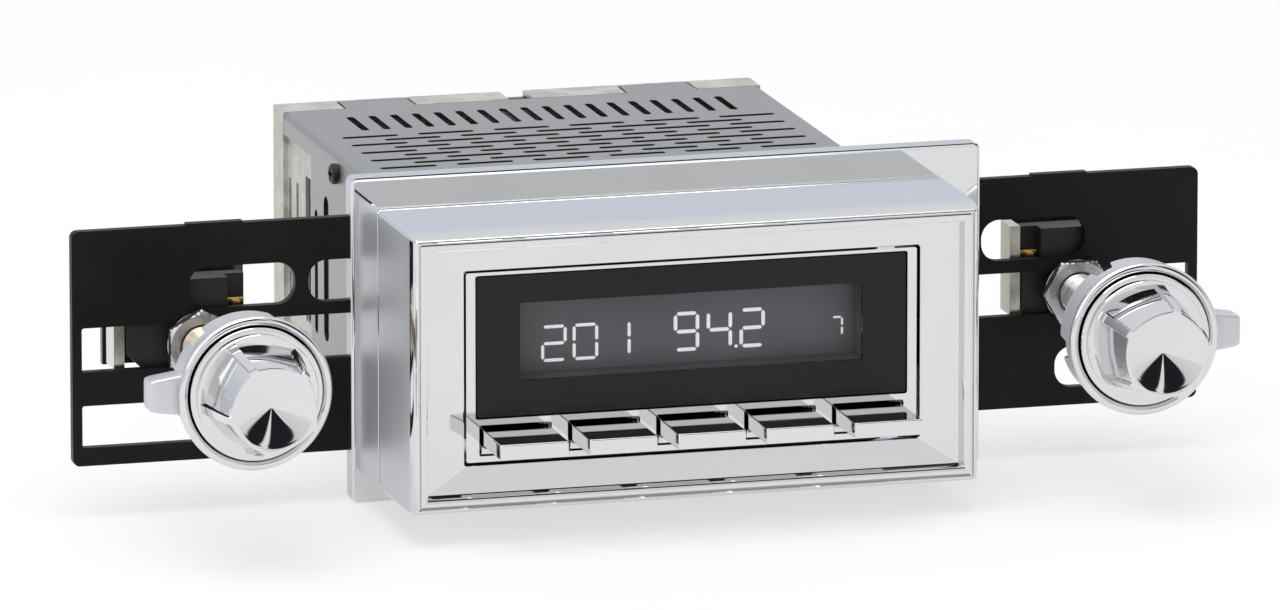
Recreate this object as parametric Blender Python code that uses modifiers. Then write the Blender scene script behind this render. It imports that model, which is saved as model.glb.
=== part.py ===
"""Classic car radio with piano keys, a trim collar and two shaft controls on slotted plates.

Metres, +Z up, +X to the right of someone who faces the front, and -Y towards them. Depths are
counted from the front face of the trim's flange, to the rear, and a reach is a depth to the
front. The part's origin is the middle of its outer box, at the height of the flange's lower edge.
"""
import math

import bmesh
import bpy
from mathutils import Matrix, Vector

# Shared clearances and the fineness of round pieces
SEAT_GAP = 0.0003
RUN_GAP = 0.00008
OVERRUN = 0.001
ROUND_STEPS = 48
SHAFT_STEPS = 24
SCREW_STEPS = 16
ARC_STEPS = 5

# Trim flange, which stands further out to the right than to the left
FLANGE_LEFT = 0.0584
FLANGE_RIGHT = 0.0688
FLANGE_HEIGHT = 0.0645
FLANGE_SHEET = 0.0009
FLANGE_WALL = 0.0012
FLANGE_DEPTH = 0.0046

# Trim collar in two stages, and the sloping face round the opening
COLLAR_HALF_WIDTH = 0.0570
COLLAR_LOW = 0.00595
COLLAR_HEIGHT = 0.0553
COLLAR_WALL = 0.0030
COLLAR_SEAM_REACH = 0.0149
COLLAR_REACH = 0.0403
COLLAR_EDGE_ROUNDING = 0.0008
RIM_DROP = 0.0023
SLOPE_DROP = 0.0015
SLOPE_BACKING = 0.0016
OPENING_GAP = 0.0005

# Faceplate
FACE_HALF_WIDTH = 0.0451
FACE_LOW = 0.0153
FACE_HEIGHT = 0.0373
FACE_REACH = 0.0360
FACE_THICKNESS = 0.0038

# Display
LENS_HALF_WIDTH = 0.04296
LENS_LOW = 0.0240
LENS_HEIGHT = 0.02767
LENS_INSET = 0.00025
LENS_THICKNESS = 0.0011
WINDOW_HALF_WIDTH = 0.0343
WINDOW_LOW = 0.03086
WINDOW_HEIGHT = 0.01529
MASK_DEPTH = 0.0054
GLASS_MARGIN = 0.0027
GLASS_THICKNESS = 0.0020
GUIDE_THICKNESS = 0.0020
CARD_THICKNESS = 0.0016

# Piano keys and the rubber mat behind them
KEY_COUNT = 5
KEY_PITCH = 0.01765
KEY_WIDTH = 0.01355
KEY_REACH = 0.0504
KEY_FRONT_LOW = 0.0187
KEY_FRONT_HEIGHT = 0.00314
KEY_REAR_LOW = 0.0169
KEY_REAR_HEIGHT = 0.0052
KEY_FILLET_DEPTH = 0.0016
KEY_EDGE_ROUNDING = 0.0003
KEY_SIDE_GAP = 0.00045
KEY_TRAVEL = 0.0015
KEY_FLANGE_DEPTH = 0.0010
KEY_FLANGE_OVERLAP = 0.00035
KEY_STEM_WIDTH = 0.0040
KEY_STEM_HEIGHT = 0.0030
MAT_SHEET = 0.0015
DOME_HEIGHT = 0.0015
DOME_WIDTH = 0.0050

# Housing that carries the face, in front of the chassis
NOSE_WALL = 0.0015

# Chassis: bulkhead, tray and cover
BODY_HALF_WIDTH = 0.0495
BODY_LOW = 0.0076
BODY_TOP = 0.05944
BULKHEAD_DEPTH = 0.0035
BULKHEAD_SHEET = 0.0010
WIRE_HOLE_HALF_WIDTH = 0.0300
WIRE_HOLE_LOW = 0.0250
WIRE_HOLE_HEIGHT = 0.0160
TRAY_SHEET = 0.0008
TRAY_REAR = 0.0970
COVER_SHEET = 0.0006
COVER_REAR = 0.0887
SKIRT_REAR = 0.0665
SKIRT_HEM_GAP = 0.0004
COVER_LIP_HEIGHT = 0.0044
COVER_TAB_REACH = 0.0070
COVER_TAB_WIDTH = 0.0144
COVER_TAB_PLACES = (-0.02935, 0.02890)
FRAME_GAP_WIDTH = 0.0049
FRAME_GAP_PLACE = -0.00035

# Vents in the cover
LONG_VENT_COUNT = 18
LONG_VENT_PITCH = 0.00447
LONG_VENT_WIDTH = 0.0016
LONG_VENT_LENGTH = 0.0134
LONG_VENT_DEPTH = 0.0673
CROSS_VENT_ROWS = 9
CROSS_VENT_ROW_PITCH = 0.00375
CROSS_VENT_DEPTH = 0.0613
CROSS_VENT_PITCH = 0.0155
CROSS_VENT_LENGTH = 0.0115
CROSS_VENT_WIDTH = 0.0014
CROSS_VENT_COUNT = 6

# Slots in the chassis sides: depth, width and top of each
SIDE_SLOT_LOW = 0.0200
TRAY_SLOT_DEPTHS = (0.0726, 0.0811, 0.0870)
TRAY_SLOT_WIDTHS = (0.0040, 0.0017, 0.0018)
TRAY_SLOT_TOPS = (0.0494, 0.0465, 0.0465)
SKIRT_SLOT_DEPTHS = (0.0547, 0.0627)
SKIRT_SLOT_WIDTHS = (0.0039, 0.0024)
SKIRT_SLOT_TOPS = (0.0493, 0.0450)

# Inside the chassis and in its rear wall
MAIN_BOARD_LOW = 0.0215
MAIN_BOARD_FRONT = 0.0060
MAIN_BOARD_REAR = 0.0860
TUNER_LEFT = 0.0400
TUNER_WIDTH = 0.0280
TUNER_FRONT = 0.0350
TUNER_LENGTH = 0.0340
TUNER_HEIGHT = 0.0150
SINK_LEFT = 0.0180
SINK_WIDTH = 0.0260
SINK_LENGTH = 0.0120
SINK_HEIGHT = 0.0240
SINK_BASE = 0.0035
SINK_FIN = 0.0016
SINK_FIN_PITCH = 0.0042
POWER_LEFT = 0.0430
POWER_WIDTH = 0.0300
POWER_HEIGHT = 0.0175
POWER_LENGTH = 0.0160
POWER_STAND_OUT = 0.0015
POWER_WALL = 0.0014
POWER_CAVITY_DEPTH = 0.0110
AERIAL_PLACE = 0.0020
AERIAL_LIFT = 0.0100
AERIAL_RADIUS = 0.0060
AERIAL_BORE_RADIUS = 0.0043
AERIAL_BORE_DEPTH = 0.0140
AERIAL_LENGTH = 0.0200
AERIAL_STAND_OUT = 0.0090

# Slotted mounting plates
PLATE_HALF_SPAN = 0.1139
PLATE_BELOW_SHAFT = 0.02295
PLATE_ABOVE_SHAFT = 0.02348
PLATE_DEPTH = 0.0012
PLATE_SHEET = 0.0020
PLATE_CORNER = 0.0018
PLATE_RISE = 0.00035
PLATE_RISE_NEAR = 0.0798
PLATE_RISE_LENGTH = 0.0112
PLATE_NOTCH_GAP = 0.0003
LEAF_LENGTH = 0.0160
LEAF_LOW = 0.0200
LEAF_HEIGHT = 0.0270
UPPER_BAR = 0.0025
UPPER_SLOT_HEIGHT = 0.0083
UPPER_SLOT_NEAR = 0.0694
UPPER_SLOT_FAR = 0.0907
INNER_SLOT_NEAR = 0.0555
INNER_SLOT_FAR = 0.0668
MIDDLE_SLOT_NEAR = 0.0560
MIDDLE_SLOT_HEIGHT = 0.0087
LOWER_BAR = 0.0067
LOWER_SLOT_HEIGHT = 0.0083
LOWER_SLOT_NEAR = 0.0846
SLOT_END_BAR = 0.0019
SLOT_CORNER = 0.0005

# Small screws
SCREW_SHANK_RADIUS = 0.0010
SCREW_HEAD_RADIUS = 0.0021
SCREW_HEAD_HEIGHT = 0.0012
SCREW_LENGTH = 0.0045
SCREW_DRIVE = 0.0008
PLATE_SCREW_DEPTH = 0.0110
PLATE_SCREW_HEIGHTS = (0.0260, 0.0410)
COVER_SCREW_DEPTH = 0.0455
COVER_SCREW_HEIGHT = 0.0558

# Controllers behind the plates
SHAFT_PLACE = 0.08875
SHAFT_HEIGHT = 0.03345
HOUSING_INWARD = 0.01035
HOUSING_OUTWARD = 0.01395
HOUSING_BELOW = 0.00465
HOUSING_HEIGHT = 0.0170
HOUSING_THICKNESS = 0.0063
HOUSING_CORNER = 0.0030
HOUSING_FRONT_WALL = 0.0016
HOUSING_POST_RADIUS = 0.0012
HOUSING_POST_INSET = 0.0030
HOUSING_POST_LENGTH = 0.0018
NOTCH_WIDTH = 0.0040
NOTCH_LIFT = 0.00455
NOTCH_DEPTH = 0.0032
CARD_INWARD = 0.01155
CARD_OUTWARD = 0.01665
CARD_MARGIN = 0.0008
BRACKET_WIDTH = 0.0021
BRACKET_HEIGHT = 0.0178
PIN_HEADER_THICKNESS = 0.0010
PIN_HEADER_HEIGHT = 0.0030
PIN_COUNT = 2
PIN_PITCH = 0.0015
PIN_SIZE = 0.0007
PIN_LENGTH = 0.0012

# Bushing, washer and nut
BUSHING_RADIUS = 0.0041
NUT_FLATS = 0.0127
NUT_THICKNESS = 0.0023
NUT_CHAMFER = 0.0006
WASHER_RADIUS = 0.0064
WASHER_THICKNESS = 0.0005
NUT_TURNS = {-1: 0.0, 1: 30.0}

# Shafts and the push switch behind them
OUTER_SHAFT_RADIUS = 0.0030
INNER_SHAFT_RADIUS = 0.0015
OUTER_SHAFT_BACK = 0.0056
INNER_SHAFT_BACK = 0.0068
PLUNGER_RADIUS = 0.0035
PLUNGER_THICKNESS = 0.0010
PUSH_TRAVEL = 0.0005
CHAMBER_RADIUS = 0.0045

# Rear knob: a ring with a skirt, a web, a hub and a finger tab
RING_REACH = 0.04455
RING_RADIUS = 0.0151
RING_BEAD_RADIUS = 0.00095
RING_SKIRT_RADIUS = 0.0145
RING_SKIRT_WALL = 0.0016
RING_BACK_REACH = 0.0360
RING_WEB = 0.0014
HUB_RADIUS = 0.0055
TAB_REACH = 0.0203
TAB_DEPTH = 0.0054
TAB_BACK_REACH = 0.0366
TAB_TIP_HEIGHT = 0.0060
TAB_ROOT_HEIGHT = 0.0080
TAB_EDGE_ROUNDING = 0.0005
SKIRT_NOTCH_COUNT = 5
SKIRT_NOTCH_WIDTH = 0.0040
SKIRT_NOTCH_DEPTH = 0.0034
SKIRT_NOTCH_TURN = 63.0

# Front knob: base, shoulder, faceted body and dished face
KNOB_BASE_RADIUS = 0.0130
KNOB_BASE_REACH = 0.0432
KNOB_BASE_HEIGHT = 0.0018
KNOB_SHOULDER_RADIUS = 0.0119
KNOB_SHOULDER_HEIGHT = 0.0010
KNOB_BODY_RADIUS = 0.0114
KNOB_FACE_RADIUS = 0.0093
KNOB_RIM_ROUNDING = 0.0003
KNOB_REACH = 0.0590
KNOB_DISH_DEPTH = 0.0028
KNOB_BORE_DEPTH = 0.0085
KNOB_DISH_RADIUS = 0.0074
FACET_COUNT = 5
FACET_BASE_RADIUS = 0.0097
FACET_FACE_RADIUS = 0.0080
FACET_CUT = 0.0060
KNOB_TURNS = {-1: 46.0, 1: 5.0}

# Worked out from the sizes above
COLLAR_TOP = COLLAR_LOW + COLLAR_HEIGHT
COLLAR_INNER = COLLAR_HALF_WIDTH - COLLAR_WALL
FACE_TOP = FACE_LOW + FACE_HEIGHT
FACE_BACK_REACH = FACE_REACH - FACE_THICKNESS
NOSE_REACH = FACE_BACK_REACH - SEAT_GAP
LENS_REACH = FACE_REACH - LENS_INSET
LENS_TOP = LENS_LOW + LENS_HEIGHT
WINDOW_TOP = WINDOW_LOW + WINDOW_HEIGHT
MASK_REACH = LENS_REACH - LENS_THICKNESS - SEAT_GAP
GLASS_REACH = MASK_REACH - MASK_DEPTH - SEAT_GAP
GUIDE_REACH = GLASS_REACH - GLASS_THICKNESS - SEAT_GAP
CARD_REACH = GUIDE_REACH - GUIDE_THICKNESS - SEAT_GAP
MAT_BACK_REACH = CARD_REACH + SEAT_GAP
DOME_REACH = MAT_BACK_REACH + MAT_SHEET + DOME_HEIGHT
KEY_REAR_TOP = KEY_REAR_LOW + KEY_REAR_HEIGHT
KEY_FLANGE_REACH = FACE_BACK_REACH - SEAT_GAP
KEY_STEM_BACK_REACH = DOME_REACH + KEY_TRAVEL + SEAT_GAP
KEY_MIDDLE = (KEY_REAR_LOW + KEY_REAR_TOP) / 2
NOSE_INNER = FACE_HALF_WIDTH - NOSE_WALL
TRAY_HALF_WIDTH = BODY_HALF_WIDTH - COVER_SHEET - SEAT_GAP
TRAY_INNER = TRAY_HALF_WIDTH - TRAY_SHEET
TRAY_FRONT = BULKHEAD_DEPTH + BULKHEAD_SHEET + SEAT_GAP
TRAY_FRAME_DEPTH = COVER_REAR + SEAT_GAP
COVER_UNDERSIDE = BODY_TOP - COVER_SHEET
TRAY_RIM = COVER_UNDERSIDE - SEAT_GAP
MAIN_BOARD_TOP = MAIN_BOARD_LOW + CARD_THICKNESS
DECK = MAIN_BOARD_TOP + SEAT_GAP
PLATE_LOW = SHAFT_HEIGHT - PLATE_BELOW_SHAFT
PLATE_TOP = SHAFT_HEIGHT + PLATE_ABOVE_SHAFT
MIDDLE_SLOT_LOW = SHAFT_HEIGHT - MIDDLE_SLOT_HEIGHT / 2
UPPER_SLOT_LOW = MIDDLE_SLOT_LOW + MIDDLE_SLOT_HEIGHT + UPPER_BAR
LOWER_SLOT_LOW = MIDDLE_SLOT_LOW - LOWER_BAR - LOWER_SLOT_HEIGHT
SLOT_FAR = PLATE_HALF_SPAN - SLOT_END_BAR
PLATE_BACK = PLATE_DEPTH + PLATE_SHEET
PLATE_RISE_FAR = PLATE_RISE_NEAR + PLATE_RISE_LENGTH
LEAF_NEAR = BODY_HALF_WIDTH + SEAT_GAP
LEAF_FAR = LEAF_NEAR + PLATE_SHEET
HOUSING_FRONT = PLATE_BACK + SEAT_GAP
HOUSING_BACK = HOUSING_FRONT + HOUSING_THICKNESS
HOUSING_NEAR = SHAFT_PLACE - HOUSING_INWARD
HOUSING_FAR = SHAFT_PLACE + HOUSING_OUTWARD
HOUSING_LOW = SHAFT_HEIGHT - HOUSING_BELOW
HOUSING_TOP = HOUSING_LOW + HOUSING_HEIGHT
CARD_NEAR = SHAFT_PLACE - CARD_INWARD
CARD_FAR = SHAFT_PLACE + CARD_OUTWARD
NOTCH_LOW = SHAFT_HEIGHT + NOTCH_LIFT
CHAMBER_FRONT = HOUSING_FRONT + HOUSING_FRONT_WALL
CHAMBER_BACK = INNER_SHAFT_BACK + SEAT_GAP + PLUNGER_THICKNESS + PUSH_TRAVEL + SEAT_GAP
CARD_FRONT = HOUSING_BACK + HOUSING_POST_LENGTH + SEAT_GAP
WASHER_BACK = PLATE_DEPTH - SEAT_GAP
NUT_BACK = WASHER_BACK - WASHER_THICKNESS - SEAT_GAP
BUSHING_REACH = RING_BACK_REACH - SEAT_GAP
RING_WEB_REACH = KNOB_BASE_REACH - PUSH_TRAVEL - SEAT_GAP
REAR_REACH = TRAY_REAR + AERIAL_STAND_OUT
FLANGE_Y = (KNOB_REACH - REAR_REACH) / 2

FACING = Matrix.Rotation(math.radians(90.0), 4, "X")

COLOURS = {
    "chrome": ((0.78, 0.79, 0.81), 0.10, 1.0),
    "galvanised steel": ((0.46, 0.48, 0.44), 0.45, 1.0),
    "cover steel": ((0.40, 0.40, 0.40), 0.38, 0.8),
    "black plate": ((0.012, 0.012, 0.012), 0.45, 0.0),
    "black plastic": ((0.016, 0.016, 0.017), 0.50, 0.0),
    "lens": ((0.020, 0.020, 0.021), 0.05, 0.0),
    "display glass": ((0.10, 0.095, 0.11), 0.25, 0.0),
    "light guide": ((0.70, 0.72, 0.72), 0.30, 0.0),
    "circuit board": ((0.030, 0.120, 0.055), 0.55, 0.0),
    "rubber": ((0.10, 0.10, 0.10), 0.80, 0.0),
    "zinc": ((0.48, 0.49, 0.50), 0.35, 1.0),
    "steel": ((0.55, 0.55, 0.54), 0.30, 1.0),
    "nickel": ((0.62, 0.60, 0.55), 0.25, 1.0),
    "gold": ((0.80, 0.56, 0.22), 0.25, 1.0),
    "aluminium": ((0.70, 0.71, 0.72), 0.40, 1.0),
    "brass": ((0.60, 0.50, 0.34), 0.35, 1.0),
}


def clear_scene():
    """Remove what the file starts with."""
    for item in list(bpy.data.objects):
        bpy.data.objects.remove(item, do_unlink=True)


def new_collection(name):
    """A collection linked to the scene."""
    collection = bpy.data.collections.new(name)
    bpy.context.scene.collection.children.link(collection)
    return collection


def material(name):
    """The material of that name from the table of colours, made once."""
    found = bpy.data.materials.get(name)
    if found:
        return found
    colour, roughness, metallic = COLOURS[name]
    made = bpy.data.materials.new(name)
    made.use_nodes = True
    shader = made.node_tree.nodes["Principled BSDF"]
    shader.inputs["Base Color"].default_value = (*colour, 1.0)
    shader.inputs["Roughness"].default_value = roughness
    shader.inputs["Metallic"].default_value = metallic
    made.diffuse_color = (*colour, 1.0)
    return made


def add_part(name, mesh, colour, matrix):
    """A piece of the radio in the collection of parts, with its material."""
    mesh.materials.append(material(colour))
    part = bpy.data.objects.new(name, mesh)
    part.matrix_world = matrix
    bpy.data.collections["car_radio"].objects.link(part)
    return part


def add_cutter(name, mesh, matrix):
    """A helper shape, shown as wire only, which cuts or joins the pieces."""
    cutter = bpy.data.objects.new(name, mesh)
    cutter.matrix_world = matrix
    cutter.hide_render = True
    cutter.display_type = "WIRE"
    bpy.data.collections["cutters"].objects.link(cutter)
    return cutter


def finish_mesh(shape, name):
    """Turn a working mesh into stored mesh data."""
    bmesh.ops.recalc_face_normals(shape, faces=shape.faces)
    mesh = bpy.data.meshes.new(name)
    shape.to_mesh(mesh)
    shape.free()
    return mesh


def smooth(part):
    """Shade the round faces smooth and keep the edges sharp."""
    part.data.shade_smooth()
    part.data.set_sharp_from_angle(angle=math.radians(35.0))


def at_flange():
    """The place from which depths are counted."""
    return Matrix.Translation((0.0, FLANGE_Y, 0.0))


def blocks_mesh(name, spans):
    """Boxes, each from its low and high places along X, Y and Z."""
    shape = bmesh.new()
    for across, deep, up in spans:
        low = Vector((across[0], deep[0], up[0]))
        high = Vector((across[1], deep[1], up[1]))
        size = high - low
        matrix = Matrix.Translation((low + high) / 2) @ Matrix.Diagonal((*size, 1.0))
        bmesh.ops.create_cube(shape, size=1.0, matrix=matrix)
    return finish_mesh(shape, name)


def block(name, across, deep, up, colour):
    """One box as a piece."""
    return add_part(name, blocks_mesh(name, [(across, deep, up)]), colour, at_flange())


def block_cutter(name, spans):
    """Boxes as one helper shape."""
    return add_cutter(name, blocks_mesh(name, spans), at_flange())


def cylinder_mesh(name, radius, places, steps):
    """Upright round rods of one radius, each from its middle and its two ends along Z."""
    shape = bmesh.new()
    for middle, low, high in places:
        matrix = Matrix.Translation((middle[0], middle[1], (low + high) / 2))
        bmesh.ops.create_cone(shape, cap_ends=True, segments=steps, radius1=radius,
                              radius2=radius, depth=high - low, matrix=matrix)
    return finish_mesh(shape, name)


def outline_mesh(name, points, thickness):
    """A flat outline in local X and Y, thickened evenly to both sides and closed."""
    curve = bpy.data.curves.new(name, "CURVE")
    curve.dimensions = "2D"
    curve.fill_mode = "BOTH"
    curve.extrude = thickness / 2
    spline = curve.splines.new("POLY")
    spline.points.add(len(points) - 1)
    for point, (across, up) in zip(spline.points, points):
        point.co = (across, up, 0.0, 1.0)
    spline.use_cyclic_u = True
    holder = bpy.data.objects.new(name, curve)
    bpy.context.scene.collection.objects.link(holder)
    bpy.context.view_layer.update()
    evaluated = holder.evaluated_get(bpy.context.evaluated_depsgraph_get())
    mesh = bpy.data.meshes.new_from_object(evaluated)
    bpy.data.objects.remove(holder, do_unlink=True)
    bpy.data.curves.remove(curve)
    shape = bmesh.new()
    shape.from_mesh(mesh)
    bmesh.ops.remove_doubles(shape, verts=shape.verts, dist=OVERRUN / 100)
    bpy.data.meshes.remove(mesh)
    return finish_mesh(shape, name)


def facing(across, depth, up):
    """A place turned to the front: local X runs right, local Y up and local Z forward."""
    return Matrix.Translation((across, FLANGE_Y + depth, up)) @ FACING


def arc(middle, radius, start, end, steps):
    """Points on an arc, with its angles in degrees."""
    points = []
    for step in range(steps + 1):
        angle = math.radians(start + (end - start) * step / steps)
        points.append((middle[0] + radius * math.cos(angle), middle[1] + radius * math.sin(angle)))
    return points


def rounded_slot(near, far, low, high, near_radius, far_radius):
    """A slot's outline, with one radius at each end's corners."""
    points = []
    points += arc((near + near_radius, low + near_radius), near_radius, 180.0, 270.0, ARC_STEPS)
    points += arc((far - far_radius, low + far_radius), far_radius, 270.0, 360.0, ARC_STEPS)
    points += arc((far - far_radius, high - far_radius), far_radius, 0.0, 90.0, ARC_STEPS)
    points += arc((near + near_radius, high - near_radius), near_radius, 90.0, 180.0, ARC_STEPS)
    return points


def on_side(side, points):
    """An outline on one side of the radio, from places counted outward."""
    return [(side * across, up) for across, up in points]


def span(side, near, far):
    """Two places counted outward on one side, as a low and a high place along X."""
    return tuple(sorted((side * near, side * far)))


def both(half):
    """A low and a high place of a width centred on the radio."""
    return (-half, half)


def turned_mesh(name, profile, closed):
    """A profile of radius and forward place, drawn down its outer side."""
    shape = bmesh.new()
    verts = [shape.verts.new((radius, 0.0, forward)) for radius, forward in profile]
    for first, second in zip(verts, verts[1:]):
        shape.edges.new((first, second))
    if closed:
        shape.edges.new((verts[-1], verts[0]))
    mesh = bpy.data.meshes.new(name)
    shape.to_mesh(mesh)
    shape.free()
    return mesh


def screw_round(part, steps):
    """Turn a profile once round its axis."""
    turn = part.modifiers.new("turn", "SCREW")
    turn.angle = math.radians(360.0)
    turn.steps = steps
    turn.render_steps = steps
    turn.use_merge_vertices = True
    turn.merge_threshold = OVERRUN / 100
    turn.use_smooth_shade = True


def turned(name, profile, closed, steps, colour, matrix):
    """A turned piece."""
    part = add_part(name, turned_mesh(name, profile, closed), colour, matrix)
    screw_round(part, steps)
    return part


def combine(part, other, operation):
    """Cut or join a piece with a helper shape."""
    change = part.modifiers.new(other.name, "BOOLEAN")
    change.operation = operation
    change.solver = "EXACT"
    change.object = other


def cut(part, other):
    """Take the helper shape out of the piece."""
    combine(part, other, "DIFFERENCE")


def join(part, other):
    """Add the helper shape to the piece."""
    combine(part, other, "UNION")


def round_edges(part, width, segments):
    """Round the piece's edges."""
    rounding = part.modifiers.new("rounding", "BEVEL")
    rounding.width = width
    rounding.segments = segments
    rounding.limit_method = "ANGLE"
    rounding.angle_limit = math.radians(40.0)


def side_name(side, name):
    """The piece's name with its side."""
    return ("left_" if side < 0 else "right_") + name


def flange_span():
    """The flange's low and high places along X."""
    return (-FLANGE_LEFT, FLANGE_RIGHT)


def make_rear_trim():
    """The flange with folded walls, and the collar's rear stage, open right through."""
    trim = block("rear_trim", flange_span(), (0.0, FLANGE_DEPTH), (0.0, FLANGE_HEIGHT), "chrome")
    hollow = ((FLANGE_WALL - FLANGE_LEFT, FLANGE_RIGHT - FLANGE_WALL),
              (FLANGE_SHEET, FLANGE_DEPTH + OVERRUN), (FLANGE_WALL, FLANGE_HEIGHT - FLANGE_WALL))
    passage = ((-FLANGE_LEFT - OVERRUN, FLANGE_RIGHT + OVERRUN),
               (FLANGE_SHEET, FLANGE_DEPTH + OVERRUN),
               (PLATE_LOW - PLATE_NOTCH_GAP, PLATE_TOP + PLATE_RISE + PLATE_NOTCH_GAP))
    cut(trim, block_cutter("flange_hollow", [hollow]))
    cut(trim, block_cutter("plate_passage", [passage]))
    stage = (both(COLLAR_HALF_WIDTH), (-COLLAR_SEAM_REACH, FLANGE_SHEET / 2),
             (COLLAR_LOW, COLLAR_TOP))
    join(trim, block_cutter("rear_stage", [stage]))
    tunnel = (both(COLLAR_INNER), (-COLLAR_SEAM_REACH - OVERRUN, FLANGE_DEPTH),
              (COLLAR_LOW + COLLAR_WALL, COLLAR_TOP - COLLAR_WALL))
    cut(trim, block_cutter("trim_tunnel", [tunnel]))


def slope_mesh(name):
    """The space in front of the sloping face, wide at the rim and narrow at the opening."""
    shape = bmesh.new()
    bmesh.ops.create_cube(shape, size=1.0)
    opening = (FACE_HALF_WIDTH + OPENING_GAP, FACE_LOW - OPENING_GAP, FACE_TOP + OPENING_GAP)
    rim = (COLLAR_INNER, COLLAR_LOW + COLLAR_WALL, COLLAR_TOP - COLLAR_WALL)
    rim_reach = COLLAR_REACH - RIM_DROP
    for vert in shape.verts:
        at_rim = vert.co.y < 0.0
        half, low, high = rim if at_rim else opening
        reach = rim_reach if at_rim else rim_reach - SLOPE_DROP
        vert.co = (math.copysign(half, vert.co.x), -reach, high if vert.co.z > 0.0 else low)
    return finish_mesh(shape, name)


def make_front_trim():
    """The collar's front stage: a rim, a face that slopes in, and the opening."""
    seam = COLLAR_SEAM_REACH + SEAT_GAP
    trim = block("front_trim", both(COLLAR_HALF_WIDTH), (-COLLAR_REACH, -seam),
                 (COLLAR_LOW, COLLAR_TOP), "chrome")
    round_edges(trim, COLLAR_EDGE_ROUNDING, 2)
    inner_up = (COLLAR_LOW + COLLAR_WALL, COLLAR_TOP - COLLAR_WALL)
    slope_back = COLLAR_REACH - RIM_DROP - SLOPE_DROP - SLOPE_BACKING
    front = (both(COLLAR_INNER), (-COLLAR_REACH - OVERRUN, RIM_DROP - COLLAR_REACH), inner_up)
    back = (both(COLLAR_INNER), (-slope_back, OVERRUN - seam), inner_up)
    opening = (both(FACE_HALF_WIDTH + OPENING_GAP), (-COLLAR_REACH - OVERRUN, OVERRUN - seam),
               (FACE_LOW - OPENING_GAP, FACE_TOP + OPENING_GAP))
    cut(trim, block_cutter("rim_recess", [front]))
    cut(trim, add_cutter("slope_space", slope_mesh("slope_space"), at_flange()))
    cut(trim, block_cutter("trim_back", [back]))
    cut(trim, block_cutter("trim_opening", [opening]))


def key_places():
    """The middles of the keys along X."""
    return [(index - (KEY_COUNT - 1) / 2) * KEY_PITCH for index in range(KEY_COUNT)]


def make_faceplate():
    """The chrome face with one opening for the display and one for each key."""
    face = block("faceplate", both(FACE_HALF_WIDTH), (-FACE_REACH, -FACE_BACK_REACH),
                 (FACE_LOW, FACE_TOP), "chrome")
    through = (-FACE_REACH - OVERRUN, OVERRUN - FACE_BACK_REACH)
    spans = [(both(LENS_HALF_WIDTH + SEAT_GAP), through, (LENS_LOW - SEAT_GAP, LENS_TOP + SEAT_GAP))]
    half = KEY_WIDTH / 2 + KEY_SIDE_GAP
    for place in key_places():
        spans.append(((place - half, place + half), through,
                      (KEY_REAR_LOW - KEY_SIDE_GAP, KEY_REAR_TOP + KEY_SIDE_GAP)))
    cut(face, block_cutter("face_openings", spans))


def make_nose_housing():
    """The black box that carries the face in front of the chassis."""
    nose = block("nose_housing", both(FACE_HALF_WIDTH), (-NOSE_REACH, BULKHEAD_DEPTH - SEAT_GAP),
                 (FACE_LOW, FACE_TOP), "black plastic")
    inside = (both(NOSE_INNER), (-NOSE_REACH - OVERRUN, BULKHEAD_DEPTH + OVERRUN),
              (FACE_LOW + NOSE_WALL, FACE_TOP - NOSE_WALL))
    cut(nose, block_cutter("nose_inside", [inside]))


def make_display():
    """Lens, mask, display glass, light guide and circuit board, one behind the other."""
    block("display_lens", both(LENS_HALF_WIDTH), (-LENS_REACH, LENS_THICKNESS - LENS_REACH),
          (LENS_LOW, LENS_TOP), "lens")
    inner_top = FACE_TOP - NOSE_WALL - SEAT_GAP
    mask = block("display_mask", both(LENS_HALF_WIDTH), (-MASK_REACH, MASK_DEPTH - MASK_REACH),
                 (LENS_LOW + SEAT_GAP, inner_top), "black plastic")
    window = (both(WINDOW_HALF_WIDTH), (-MASK_REACH - OVERRUN, OVERRUN + MASK_DEPTH - MASK_REACH),
              (WINDOW_LOW, WINDOW_TOP))
    cut(mask, block_cutter("mask_window", [window]))
    across = both(WINDOW_HALF_WIDTH + GLASS_MARGIN)
    up = (WINDOW_LOW - GLASS_MARGIN, WINDOW_TOP + GLASS_MARGIN)
    block("display_glass", across, (-GLASS_REACH, GLASS_THICKNESS - GLASS_REACH), up,
          "display glass")
    block("light_guide", across, (-GUIDE_REACH, GUIDE_THICKNESS - GUIDE_REACH), up, "light guide")
    block("display_board", both(NOSE_INNER - SEAT_GAP), (-CARD_REACH, CARD_THICKNESS - CARD_REACH),
          (FACE_LOW + NOSE_WALL + SEAT_GAP, inner_top), "circuit board")


def make_key_mat():
    """The rubber mat with a dome behind each key."""
    low = FACE_LOW + NOSE_WALL + SEAT_GAP
    mat_reach = MAT_BACK_REACH + MAT_SHEET
    mat = block("key_mat", both(NOSE_INNER - SEAT_GAP), (-mat_reach, -MAT_BACK_REACH),
                (low, KEY_REAR_TOP + KEY_SIDE_GAP), "rubber")
    half = DOME_WIDTH / 2
    height = KEY_STEM_HEIGHT / 2
    spans = [((place - half, place + half), (-DOME_REACH, MAT_SHEET / 2 - mat_reach),
              (KEY_MIDDLE - height, KEY_MIDDLE + height)) for place in key_places()]
    join(mat, block_cutter("mat_domes", spans))


def key_profile():
    """The key from the side, as reach and height: a slab that tapers below, to the front."""
    front_top = KEY_FRONT_LOW + KEY_FRONT_HEIGHT
    return [(KEY_REACH, KEY_FRONT_LOW), (KEY_REACH, front_top),
            (FACE_REACH + KEY_FILLET_DEPTH, front_top), (FACE_REACH, KEY_REAR_TOP),
            (KEY_FLANGE_REACH, KEY_REAR_TOP), (KEY_FLANGE_REACH, KEY_REAR_LOW),
            (FACE_REACH, KEY_REAR_LOW)]


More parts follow.
